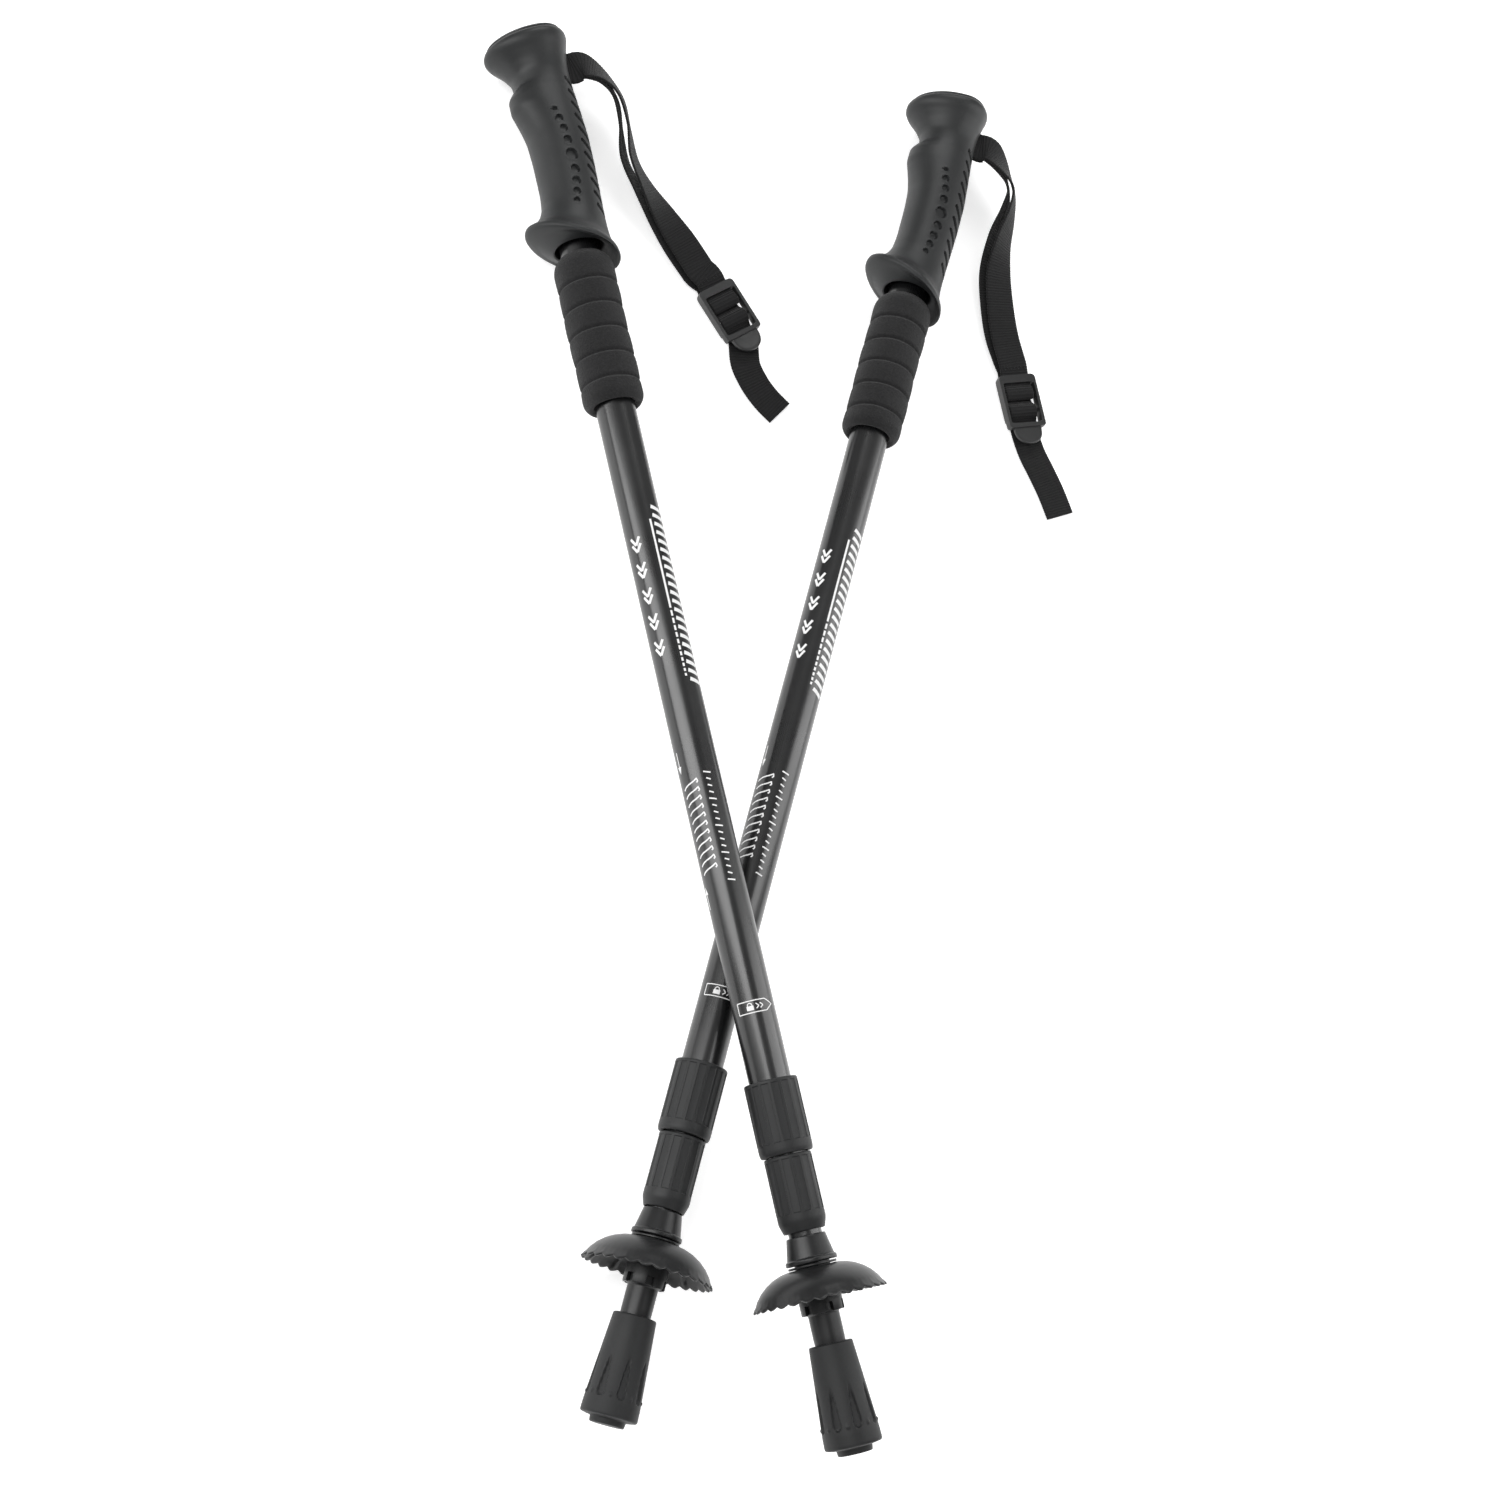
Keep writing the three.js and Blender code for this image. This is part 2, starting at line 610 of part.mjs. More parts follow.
// The webbing outside the grip: the sewn strand over the threaded one, and the threaded
// strand's way through the buckle to the tail. They are one piece where they leave the grip.
function strap(side) {
  const line = strapLine(side, 16);
  const { across: level, place } = buckleFrame(side);
  const stations = stationsOf(line.map(({ middle }) => middle), line.map(({ bank }) => bank));
  const strand = (sign) =>
    stations.map(({ middle, across, face }, i) => ({
      middle: middle.clone().addScaledVector(face, (sign * line[i].apart) / 2),
      across,
      face,
    }));
  const through = (way) => way.map(([distance, height]) => place(distance, height));
  const tail = BUCKLE_PLACE[side].tail.map(([x, y]) => new THREE.Vector3(x, y, GROUND_WEB));
  const sewn = levelStations(through(SEWN_END), level);
  const threadedLine = [...through(THREADED_END), ...tail];
  const threaded = stationsOf(threadedLine, threadedLine.map(() => 0));
  const upper = strip([...strand(1), ...sewn]);
  const lower = strip([...strand(-1), ...threaded]);
  const joined = strip(stations.slice(0, 2), 1.6 * STRAP.thickness);
  return upper.add(lower).add(joined);
}

// The ladder buckle: two rails, four bars and a round pull tab over the tail. Its length is on X.
function buckle() {
  const { length, inside, rail, plate, bar, innerBar, tab } = BUCKLE;
  const railY = (inside + rail) / 2;
  const depth = 4.6;
  const rails = [-1, 1].map((way) => block(length, rail, depth, length / 2, way * railY, FRAME_MIDDLE));
  const first = block(plate, inside + 2 * rail, 1.4, plate / 2, 0, FRAME_MIDDLE + depth / 2 - 0.7);
  const crossbar = (x, z, radius) =>
    rod(radius, new THREE.Vector3(x, -railY, z), new THREE.Vector3(x, railY, z), 10);
  const last = FRAME_MIDDLE + 0.6;
  const bars = [
    first,
    crossbar(length - bar, last, bar),
    ...INNER_BARS.map(([x, z]) => crossbar(x, z, innerBar)),
  ];
  const outline = new THREE.Shape();
  outline.moveTo(length - 1, -7.2);
  outline.lineTo(length + 2, -7.2);
  outline.quadraticCurveTo(length + tab, -6, length + tab, 0);
  outline.quadraticCurveTo(length + tab, 6, length + 2, 7.2);
  outline.lineTo(length - 1, 7.2);
  const pull = new THREE.ExtrudeGeometry(outline, {
    depth: 2,
    bevelEnabled: false,
    curveSegments: 6,
  }).translate(0, 0, last - 1);
  return [...rails, ...bars, solid(pull)].reduce((all, piece) => all.add(piece));
}

// ---------------------------------------------------------------- the pair
// How much further the left pole's lowest section is drawn out than the right pole's.
const LOWEST_SECTION_RISE = { left: 0, right: 1.5 };

const pair = new THREE.Group();

function addPole(side) {
  const pole = new THREE.Group();
  pole.applyMatrix4(poleFrame(side));
  const tip = new THREE.Group();
  tip.position.z = LOWEST_SECTION_RISE[side];
  pole.add(tip);
  const lying = new THREE.Group();
  const { start, along } = buckleFrame(side);
  lying.position.copy(start);
  lying.rotation.z = Math.atan2(along.y, along.x);
  pair.add(pole, lying);

  const add = (group, name, body, material) => {
    const mesh = new THREE.Mesh(surface(body), new THREE.MeshStandardMaterial(MATERIALS[material]));
    mesh.name = `${side}_${name}`;
    group.add(mesh);
  };

  add(pole, "grip", grip(), "grip");
  add(pole, "grip_cap", gripCap(), "cap");
  add(pole, "strap_pin", strapPin(), "steel");
  add(pole, "strap_root", strapRoot(), "webbing");
  add(pole, "grip_liner", gripLiner(), "nylon");
  add(pole, "shock_spring", shockSpring(), "steel");
  add(pole, "tube_top_plug", tubeTopPlug(), "nylon");
  add(pole, "stroke_pin", strokePin(), "steel");
  add(pole, "foam_grip", foamGrip(), "foam");
  add(pole, "upper_tube", upperTube(), "tube");
  add(pole, "upper_collar", collar(UPPER_COLLAR, TUBE.upper, TUBE.middle, 1.4, 10), "nylon");
  add(pair, "strap", strap(side), "webbing");
  add(lying, "buckle", buckle(), "nylon");

  const middleLock = twistLock(TUBE.middle, TUBE.upper);
  add(pole, "middle_expander", middleLock.sleeve, "nylon");
  add(pole, "middle_wedge", middleLock.wedge, "nylon");
  add(pole, "middle_stud", middleLock.stud, "steel");
  add(pole, "middle_plug", middleLock.plug, "nylon");
  add(pole, "middle_tube", ring(TUBE.middle.inner, TUBE.middle.outer, TUBE.middle.bottom, TUBE.middle.top), "tube");
  add(pole, "lower_collar", collar(LOWER_COLLAR, TUBE.middle, TUBE.lower, 4.2, 8), "nylon");

  const lowerLock = twistLock(TUBE.lower, TUBE.middle);
  add(tip, "lower_expander", lowerLock.sleeve, "nylon");
  add(tip, "lower_wedge", lowerLock.wedge, "nylon");
  add(tip, "lower_stud", lowerLock.stud, "steel");
  add(tip, "lower_plug", lowerLock.plug, "nylon");
  add(tip, "lower_tube", ring(TUBE.lower.inner, TUBE.lower.outer, TUBE.lower.bottom, TUBE.lower.top), "tube");
  add(tip, "ferrule", ferrule(), "nylon");
  add(tip, "tip_insert", tipInsert(), "carbide");
  add(tip, "basket_washer", basketWasher(), "nylon");
  add(tip, "basket", basket(), "nylon");
  add(tip, "rubber_foot", rubberFoot(), "rubber");
}

addPole("left");
addPole("right");

// The origin is on the ground, at the middle of the pair's bounds.
pair.updateMatrixWorld(true);
const bounds = new THREE.Box3().setFromObject(pair, true);
const middle = bounds.getCenter(new THREE.Vector3());
pair.position.set(-middle.x, -middle.y, -bounds.min.z);

const poles = new THREE.Group();
poles.add(pair);

export default poles;
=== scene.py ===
"""A pair of collapsed telescopic trekking poles, lying crossed on a pale floor.

Every pole is built in its own millimetres: z runs from the ground face of the rubber foot to the
grip, x points to the finger side and y to the printed side. PoleFrame takes those to the row frame.
"""

from __future__ import annotations

import json
import logging
import math
from dataclasses import dataclass, field
from enum import Enum
from typing import Callable, Iterable, Sequence

import bmesh
import bpy
import numpy as np
from mathutils import Matrix, Vector


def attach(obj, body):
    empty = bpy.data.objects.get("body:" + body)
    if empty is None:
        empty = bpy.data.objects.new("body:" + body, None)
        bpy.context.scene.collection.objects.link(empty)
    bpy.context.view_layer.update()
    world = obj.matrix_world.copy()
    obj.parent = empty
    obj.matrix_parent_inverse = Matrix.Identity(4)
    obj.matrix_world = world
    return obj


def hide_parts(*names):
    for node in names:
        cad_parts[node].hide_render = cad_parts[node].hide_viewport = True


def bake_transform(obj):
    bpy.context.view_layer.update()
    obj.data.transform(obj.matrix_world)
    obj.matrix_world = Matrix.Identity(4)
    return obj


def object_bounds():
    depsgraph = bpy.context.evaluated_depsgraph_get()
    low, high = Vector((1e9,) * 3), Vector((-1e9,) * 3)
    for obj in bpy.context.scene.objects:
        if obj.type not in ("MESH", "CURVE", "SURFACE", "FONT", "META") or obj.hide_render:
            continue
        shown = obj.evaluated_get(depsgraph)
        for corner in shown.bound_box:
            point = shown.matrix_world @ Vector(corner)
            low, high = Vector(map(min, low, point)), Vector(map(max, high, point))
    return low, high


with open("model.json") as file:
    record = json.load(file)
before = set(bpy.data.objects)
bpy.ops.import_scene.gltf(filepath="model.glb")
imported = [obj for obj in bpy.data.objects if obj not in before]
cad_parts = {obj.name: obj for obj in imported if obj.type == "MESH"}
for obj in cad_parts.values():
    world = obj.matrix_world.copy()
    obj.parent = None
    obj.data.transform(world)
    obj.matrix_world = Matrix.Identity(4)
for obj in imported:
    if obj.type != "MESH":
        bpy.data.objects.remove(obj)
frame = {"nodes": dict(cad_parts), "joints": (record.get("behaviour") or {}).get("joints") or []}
CAD_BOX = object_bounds()

Socket = bpy.types.NodeSocket
Thing = bpy.types.Object
Row = Sequence[float]
Table = tuple[tuple[float, ...], ...]

LOG = logging.getLogger("trekking_poles")
MM = 0.001
TAU = 2 * math.pi
SHARP = 34.0  # degrees between faces from which an edge stays crisp


class Side(Enum):
    """The two poles, named by where their grips lie."""

    LEFT = "left"
    RIGHT = "right"


class Slot(Enum):
    """The record's material slots."""

    GRIP = "charcoal_grip"
    PLASTIC = "black_plastic"
    ALUMINIUM = "black_aluminium"
    FOAM = "black_foam"
    WEBBING = "black_webbing"
    STEEL = "steel"
    RUBBER = "black_rubber"
    CARBIDE = "carbide"


# ------------------------------------------------------------------ finishes
class Shader:
    """One material's node tree, with short ways to lay patterns over its main shader."""

    def __init__(self, name: str, color: Row, roughness: float, **sockets: float) -> None:
        """Starts a material whose main shader has one colour and one roughness.

        Args:
            name: the material's name.
            color: red, green and blue, linear.
            roughness: the shader's roughness.
            **sockets: other values of the shader, by socket name with _ for each space.
        """
        self.material = bpy.data.materials.new(name)
        self.material.use_nodes = True
        self.tree = self.material.node_tree
        self.main = next(n for n in self.tree.nodes if n.type == "BSDF_PRINCIPLED")
        self.main.inputs["Base Color"].default_value = (*color, 1.0)
        self.main.inputs["Roughness"].default_value = roughness
        for socket, value in sockets.items():
            self.main.inputs[socket.replace("_", " ")].default_value = value
        self.material.diffuse_color = (*color, 1.0)

    def node(self, kind: str, **values: object) -> bpy.types.Node:
        """Adds a node and sets its inputs or properties.

        Args:
            kind: the node's type name after "ShaderNode".
            **values: input values and links by socket name, or properties by name.

        Returns:
            The new node.
        """
        made = self.tree.nodes.new(f"ShaderNode{kind}")
        for key, value in values.items():
            socket = made.inputs.get(key.replace("_", " "))
            if socket is None:
                setattr(made, key, value)
            elif isinstance(value, Socket):
                self.tree.links.new(value, socket)
            else:
                socket.default_value = value
        return made

    def place(self, scale: Row, wrapped: bool = False) -> Socket:
        """Gives scaled coordinates, in the object's metres or along its wrapped surface.

        Args:
            scale: how much each coordinate is multiplied.
            wrapped: whether the coordinates run round and along the surface.

        Returns:
            The coordinates' socket.
        """
        source = self.node("TexCoord").outputs["UV" if wrapped else "Object"]
        return self.node("Mapping", Vector=source, Scale=tuple(scale)).outputs["Vector"]

    def noise(self, where: Socket, detail: float = 3.0, rough: float = 0.55) -> Socket:
        """Gives a noise pattern from 0 to 1 at the coordinates."""
        return self.node("TexNoise", Vector=where, Scale=1.0, Detail=detail, Roughness=rough).outputs["Fac"]

    def span(
        self, value: Socket, low: float, high: float, start: float = 0.0, end: float = 1.0
    ) -> Socket:
        """Gives a value moved smoothly from one span to another.

        Args:
            value: the socket to move.
            low: the value that becomes start.
            high: the value that becomes end.
            start: the result at low.
            end: the result at high.

        Returns:
            The result's socket.
        """
        made = self.node("MapRange", Value=value)
        for name, number in (("From Min", low), ("From Max", high), ("To Min", start), ("To Max", end)):
            made.inputs[name].default_value = number
        return made.outputs["Result"]

    def sum(self, first: Socket, second: Socket | float, share: float = 1.0) -> Socket:
        """Gives first plus a share of second."""
        made = self.node("Math", operation="MULTIPLY_ADD")
        self._feed(made.inputs[0], second)
        made.inputs[1].default_value = share
        self._feed(made.inputs[2], first)
        return made.outputs["Value"]

    def product(self, first: Socket, second: Socket | float) -> Socket:
        """Gives first times second."""
        made = self.node("Math", operation="MULTIPLY")
        self._feed(made.inputs[0], first)
        self._feed(made.inputs[1], second)
        return made.outputs["Value"]

    def tint(self, share: Socket, low: Row, high: Row) -> None:
        """Colours the surface from low to high by a pattern."""
        ramp = self.node("ValToRGB", Fac=share)
        ramp.color_ramp.elements[0].color = (*low, 1.0)
        ramp.color_ramp.elements[1].color = (*high, 1.0)
        self.tree.links.new(ramp.outputs["Color"], self.main.inputs["Base Color"])

    def polish(self, share: Socket, low: float, high: float) -> None:
        """Varies the roughness from low to high by a pattern."""
        self.tree.links.new(self.span(share, 0.25, 0.75, low, high), self.main.inputs["Roughness"])

    def relief(self, height: Socket, depth: float) -> None:
        """Lays a fine relief over the surface.

        Args:
            height: the pattern, from 0 to 1.
            depth: the relief's depth in metres.
        """
        made = self.node("Bump", Height=height, Distance=depth, Strength=1.0)
        self.tree.links.new(made.outputs["Normal"], self.main.inputs["Normal"])

    def _feed(self, socket: Socket, value: Socket | float) -> None:
        """Links or sets one input."""
        if isinstance(value, Socket):
            self.tree.links.new(value, socket)
        else:
            socket.default_value = value


@dataclass(frozen=True)
class Finish:
    """What every finish has: a name, a colour and how it is kept as one material."""

    name: str
    color: tuple[float, float, float]
    roughness: float

    def material(self) -> bpy.types.Material:
        """Gives the finish's material, made once."""
        return bpy.data.materials.get(self.name) or self.build().material

    def build(self) -> Shader:
        """Makes the plain material that each finish starts from."""
        return Shader(self.name, self.color, self.roughness)

    def shade(self, factor: float) -> tuple[float, float, float]:
        """Gives the finish's colour made lighter or darker."""
        return tuple(min(channel * factor, 1.0) for channel in self.color)


@dataclass(frozen=True)
class MouldedPlastic(Finish):
    """Spark-textured moulded plastic or rubber: fine grain, faint flow marks and rubbed edges."""

    grain: float = 0.00045
    depth: float = 0.00002
    mottle: float = 0.16
    rub: float = 0.5
    specular: float = 0.45

    def build(self) -> Shader:
        """Makes the moulded material."""
        shader = Shader(self.name, self.color, self.roughness, Specular_IOR_Level=self.specular)
        flow = shader.noise(shader.place((34, 34, 34)), 4.0, 0.6)
        grain = shader.noise(shader.place((1 / self.grain,) * 3), 2.0, 0.5)
        edge = shader.span(shader.node("NewGeometry").outputs["Pointiness"], 0.515, 0.60, 0.0, self.rub)
        tone = shader.span(shader.sum(shader.sum(flow, grain, 0.35), edge), 0.35, 1.35)
        shader.tint(tone, self.shade(1 - self.mottle), self.shade(1 + 1.9 * self.mottle))
        shader.polish(flow, self.roughness - 0.06, self.roughness + 0.06)
        shader.relief(grain, self.depth)
        return shader


@dataclass(frozen=True)
class AnodisedAluminium(Finish):
    """Black anodised tube with drawing lines along it and a thin haze of handling."""

    lines: float = 0.00018

    def build(self) -> Shader:
        """Makes the anodised material."""
        shader = Shader(self.name, self.color, self.roughness, Specular_IOR_Level=0.62)
        shader.main.inputs["Coat Weight"].default_value = 0.25
        shader.main.inputs["Coat Roughness"].default_value = 0.12
        drawn = shader.noise(shader.place((1 / self.lines, 9, 1), wrapped=True), 2.0, 0.5)
        haze = shader.noise(shader.place((26, 26, 26)), 4.0, 0.6)
        shader.tint(shader.span(shader.sum(haze, drawn, 0.5), 0.4, 1.1), self.shade(0.75), self.shade(1.5))
        shader.polish(shader.sum(haze, drawn, 0.25), self.roughness - 0.03, self.roughness + 0.08)
        shader.relief(drawn, 0.000003)
        return shader


@dataclass(frozen=True)
class ClosedCellFoam(Finish):
    """Fine-grained foam: small cells, soft nap and worn high spots."""

    cell: float = 0.00042

    def build(self) -> Shader:
        """Makes the foam material."""
        shader = Shader(self.name, self.color, self.roughness, Sheen_Weight=0.1, Specular_IOR_Level=0.2)
        shader.main.inputs["Sheen Roughness"].default_value = 0.6
        pattern = shader.node("TexVoronoi", Vector=shader.place((1 / self.cell,) * 3), Scale=1.0)
        cells = pattern.outputs["Distance"]
        grain = shader.noise(shader.place((1 / (2.6 * self.cell),) * 3), 5.0, 0.7)
        wear = shader.noise(shader.place((60, 60, 60)), 3.0, 0.6)
        tone = shader.sum(shader.sum(grain, cells, 0.45), wear, 0.35)
        shader.tint(shader.span(tone, 0.55, 1.25), self.shade(0.4), self.shade(2.4))
        shader.relief(shader.sum(grain, cells, 0.8), 0.00028)
        return shader


@dataclass(frozen=True)
class WovenWebbing(Finish):
    """Ribbed polyester webbing: threads run along it and are bound by weft ribs across it."""

    rib: float = 0.0014
    thread: float = 0.00055

    def build(self) -> Shader:
        """Makes the webbing material."""
        shader = Shader(self.name, self.color, self.roughness, Sheen_Weight=0.12, Specular_IOR_Level=0.25)
        shader.main.inputs["Sheen Roughness"].default_value = 0.45
        along = shader.place((1 / self.thread, 1 / self.rib, 1), wrapped=True)
        parts = shader.node("SeparateXYZ", Vector=along)
        waves = []
        for axis in ("X", "Y"):
            turn = shader.product(parts.outputs[axis], TAU)
            waves.append(shader.node("Math", operation="SINE", Value=turn).outputs["Value"])
        crossed = shader.product(waves[0], waves[1])
        weave = shader.span(shader.sum(waves[1], crossed, 0.6), -1.6, 1.6)
        fuzz = shader.noise(shader.place((5200, 5200, 5200)), 3.0, 0.65)
        wash = shader.noise(shader.place((70, 70, 70)), 3.0, 0.6)
        tone = shader.sum(shader.sum(weave, fuzz, 0.5), wash, 0.4)
        shader.tint(shader.span(tone, 0.3, 1.6), self.shade(0.25), self.shade(2.6))
        shader.polish(fuzz, self.roughness - 0.08, self.roughness + 0.06)
        shader.relief(shader.sum(weave, fuzz, 0.4), 0.00026)
        return shader


@dataclass(frozen=True)
class TurnedSteel(Finish):
    """Plain metal with fine turning lines and a faint stain."""

    def build(self) -> Shader:
        """Makes the metal material."""
        shader = Shader(self.name, self.color, self.roughness, Metallic=1.0)
        lines = shader.noise(shader.place((900, 900, 9000)), 2.0, 0.5)
        stain = shader.noise(shader.place((220, 220, 220)), 4.0, 0.6)
        shader.tint(shader.span(stain, 0.3, 0.7), self.shade(0.72), self.shade(1.1))
        shader.polish(lines, self.roughness - 0.08, self.roughness + 0.12)
        shader.relief(lines, 0.00001)
        return shader


@dataclass(frozen=True)
class PrintedInk(Finish):
    """White pad-printed ink with pinholes and a slightly worn film."""

    def build(self) -> Shader:
        """Makes the ink material."""
        shader = Shader(self.name, self.color, self.roughness, Specular_IOR_Level=0.4)
        wear = shader.noise(shader.place((2600, 2600, 2600)), 3.0, 0.7)
        shader.tint(shader.span(wear, 0.18, 0.42), self.shade(0.55), self.color)
        shader.polish(wear, self.roughness - 0.05, self.roughness + 0.1)
        shader.relief(wear, 0.000008)
        return shader


@dataclass(frozen=True)
class PaleFloor(Finish):
    """A plain pale light table."""

    glow: float = 0.52

    def build(self) -> Shader:
        """Makes the floor material."""
        shader = Shader(self.name, self.color, self.roughness, Specular_IOR_Level=0.1)
        tone = shader.noise(shader.place((3, 3, 3)), 2.0, 0.5)
        shader.tint(tone, self.shade(0.985), self.color)
        shader.main.inputs["Emission Color"].default_value = (1, 1, 1, 1)
        shader.main.inputs["Emission Strength"].default_value = self.glow
        return shader


GRIP_FINISH = MouldedPlastic("grip_soft_plastic", (0.0125, 0.0135, 0.0140), 0.48, specular=0.42)
CAP_FINISH = MouldedPlastic("cap_plastic", (0.0105, 0.0112, 0.0118), 0.46, specular=0.42)
COLLAR_FINISH = MouldedPlastic("collar_nylon", (0.0105, 0.011, 0.0115), 0.5, grain=0.0006, specular=0.4)
SATIN_NYLON = MouldedPlastic(
    "satin_nylon", (0.0065, 0.0068, 0.0072), 0.36, grain=0.0007, depth=0.00001, specular=0.42
)
BUCKLE_FINISH = MouldedPlastic("buckle_acetal", (0.0125, 0.0128, 0.013), 0.38, grain=0.0005, specular=0.48)
INNER_NYLON = MouldedPlastic("inner_nylon", (0.018, 0.019, 0.020), 0.45, mottle=0.12)
RUBBER_FINISH = MouldedPlastic(
    "foot_rubber", (0.0095, 0.010, 0.0105), 0.56, grain=0.0009, mottle=0.34, specular=0.42
)
TUBE_FINISH = AnodisedAluminium("black_anodised_tube", (0.0035, 0.0037, 0.0040), 0.24)
FOAM_FINISH = ClosedCellFoam("foam_sleeve_grain", (0.0085, 0.0085, 0.0088), 0.95)
WEBBING_FINISH = WovenWebbing("ribbed_webbing", (0.0045, 0.0045, 0.0047), 0.8)
THREAD_FINISH = WovenWebbing("strap_thread", (0.012, 0.012, 0.0125), 0.7, rib=0.0006, thread=0.0002)
STEEL_FINISH = TurnedSteel("plain_steel", (0.50, 0.50, 0.52), 0.3)
CARBIDE_FINISH = TurnedSteel("sintered_carbide", (0.32, 0.32, 0.34), 0.36)
INK_FINISH = PrintedInk("white_ink", (0.80, 0.80, 0.80), 0.5)
FLOOR_FINISH = PaleFloor("pale_floor", (0.90, 0.90, 0.90), 0.9)


# ------------------------------------------------------------------ places
def joint_named(name: str) -> dict:
    """Gives the record's joint of that name."""
    return next(joint for joint in frame["joints"] if joint["name"] == name)


@dataclass(frozen=True)
class PoleFrame:
    """Where one pole lies: its axes in the row frame and the centre of its foot's ground face."""

    side: Side
    origin: np.ndarray
    finger: np.ndarray
    up: np.ndarray
    along: np.ndarray

    HINGE_X = -17.0
    HINGE_Z = 635.5

    @classmethod
    def of(cls, side: Side) -> PoleFrame:
        """Reads a pole's place from its grip's and its strap's joints.

        Args:
            side: the pole.

        Returns:
            The pole's frame.
        """
        along = -np.array(joint_named(f"{side.value}_shock_travel")["axis"])
        along /= np.linalg.norm(along)
        up = np.array([0.0, 0.0, 1.0]) - along * along[2]
        up /= np.linalg.norm(up)
        finger = np.cross(up, along)
        hinge = np.array(joint_named(f"{side.value}_strap_swing")["pos_m"])
        origin = hinge - MM * (cls.HINGE_X * finger + cls.HINGE_Z * along)
        return cls(side, origin, finger, up, along)

    def to_row(self, points: np.ndarray) -> np.ndarray:
        """Takes pole millimetres to row-frame metres."""
        axes = np.array([self.finger, self.up, self.along])
        return self.origin + MM * (np.asarray(points, float) @ axes)

    def point(self, x: float, y: float, z: float) -> np.ndarray:
        """Gives one pole point in row-frame metres."""
        return self.to_row(np.array([x, y, z]))

    def name(self, part: str) -> str:
        """Gives a piece, node or body its side's name."""
        return f"{self.side.value}_{part}"


def crossing_point() -> np.ndarray:
    """Gives the floor point below where the two poles cross, in row-frame metres."""
    left, right = PoleFrame.of(Side.LEFT), PoleFrame.of(Side.RIGHT)
    ways = np.array([left.along[:2], -right.along[:2]]).T
    share = np.linalg.solve(ways, (right.origin - left.origin)[:2])[0]
    spot = left.origin[:2] + share * left.along[:2]
    return np.array([spot[0], spot[1], 0.0])


# ------------------------------------------------------------------ shells
def softened(corners: Iterable[Row], closed: bool = False, steps: int = 4) -> np.ndarray:
    """Draws an outline whose corners are bends, with a holding point beside each bend.

    Args:
        corners: x, y and, where the corner is bent, how far before it the bend starts.
        closed: whether the last corner leads back to the first.
        steps: straight pieces in each bend.

    Returns:
        The outline's points, one a row.
    """
    rows = [tuple(corner) + (0.0,) * (3 - len(corner)) for corner in corners]
    points = np.array([row[:2] for row in rows], float)
    drawn: list[np.ndarray] = []
    for index, (_, _, bend) in enumerate(rows):
        here = points[index]
        at_end = not closed and index in (0, len(rows) - 1)
        if bend <= 0 or at_end:
            drawn.append(here)
            continue
        sides = []
        for other in (points[index - 1], points[(index + 1) % len(rows)]):
            reach = np.linalg.norm(other - here)
            way = (other - here) / reach
            sides.append((way * min(bend, 0.45 * reach), way * min(1.7 * bend, 0.49 * reach)))
        drawn.append(here + sides[0][1])
        for step in np.linspace(0, 1, steps + 1):
            drawn.append(here + (1 - step) ** 2 * sides[0][0] + step**2 * sides[1][0])
        drawn.append(here + sides[1][1])
    return np.array(drawn)


def even_turn(count: int) -> np.ndarray:
    """Gives angles spread evenly round a full turn."""
    return np.arange(count) * TAU / count


def turned(profile: np.ndarray, angles: np.ndarray) -> np.ndarray:
    """Turns a profile of radius and height about the pole's axis.

    Args:
        profile: radius and height, one point a row.
        angles: where round the axis each row has its points.

    Returns:
        Rings of points, by profile point and angle.
    """
    ring = np.stack([np.cos(angles), np.sin(angles)], axis=1)
    around = profile[:, None, :1] * ring[None]
    heights = np.repeat(profile[:, 1:2], len(angles), axis=1)[..., None]
    return np.concatenate([around, heights], axis=2)


def pressed(rings: np.ndarray, depth: np.ndarray) -> np.ndarray:
    """Moves each ring point towards the axis by a depth in millimetres."""
    radius = np.hypot(rings[..., 0], rings[..., 1])
    share = 1 - depth / np.maximum(radius, 1e-6)
    return np.concatenate([rings[..., :2] * share[..., None], rings[..., 2:]], axis=2)


def smooth_step(value: np.ndarray) -> np.ndarray:
    """Gives 0 below 0, 1 above 1, and a smooth change between."""
    held = np.clip(value, 0, 1)
    return held * held * (3 - 2 * held)


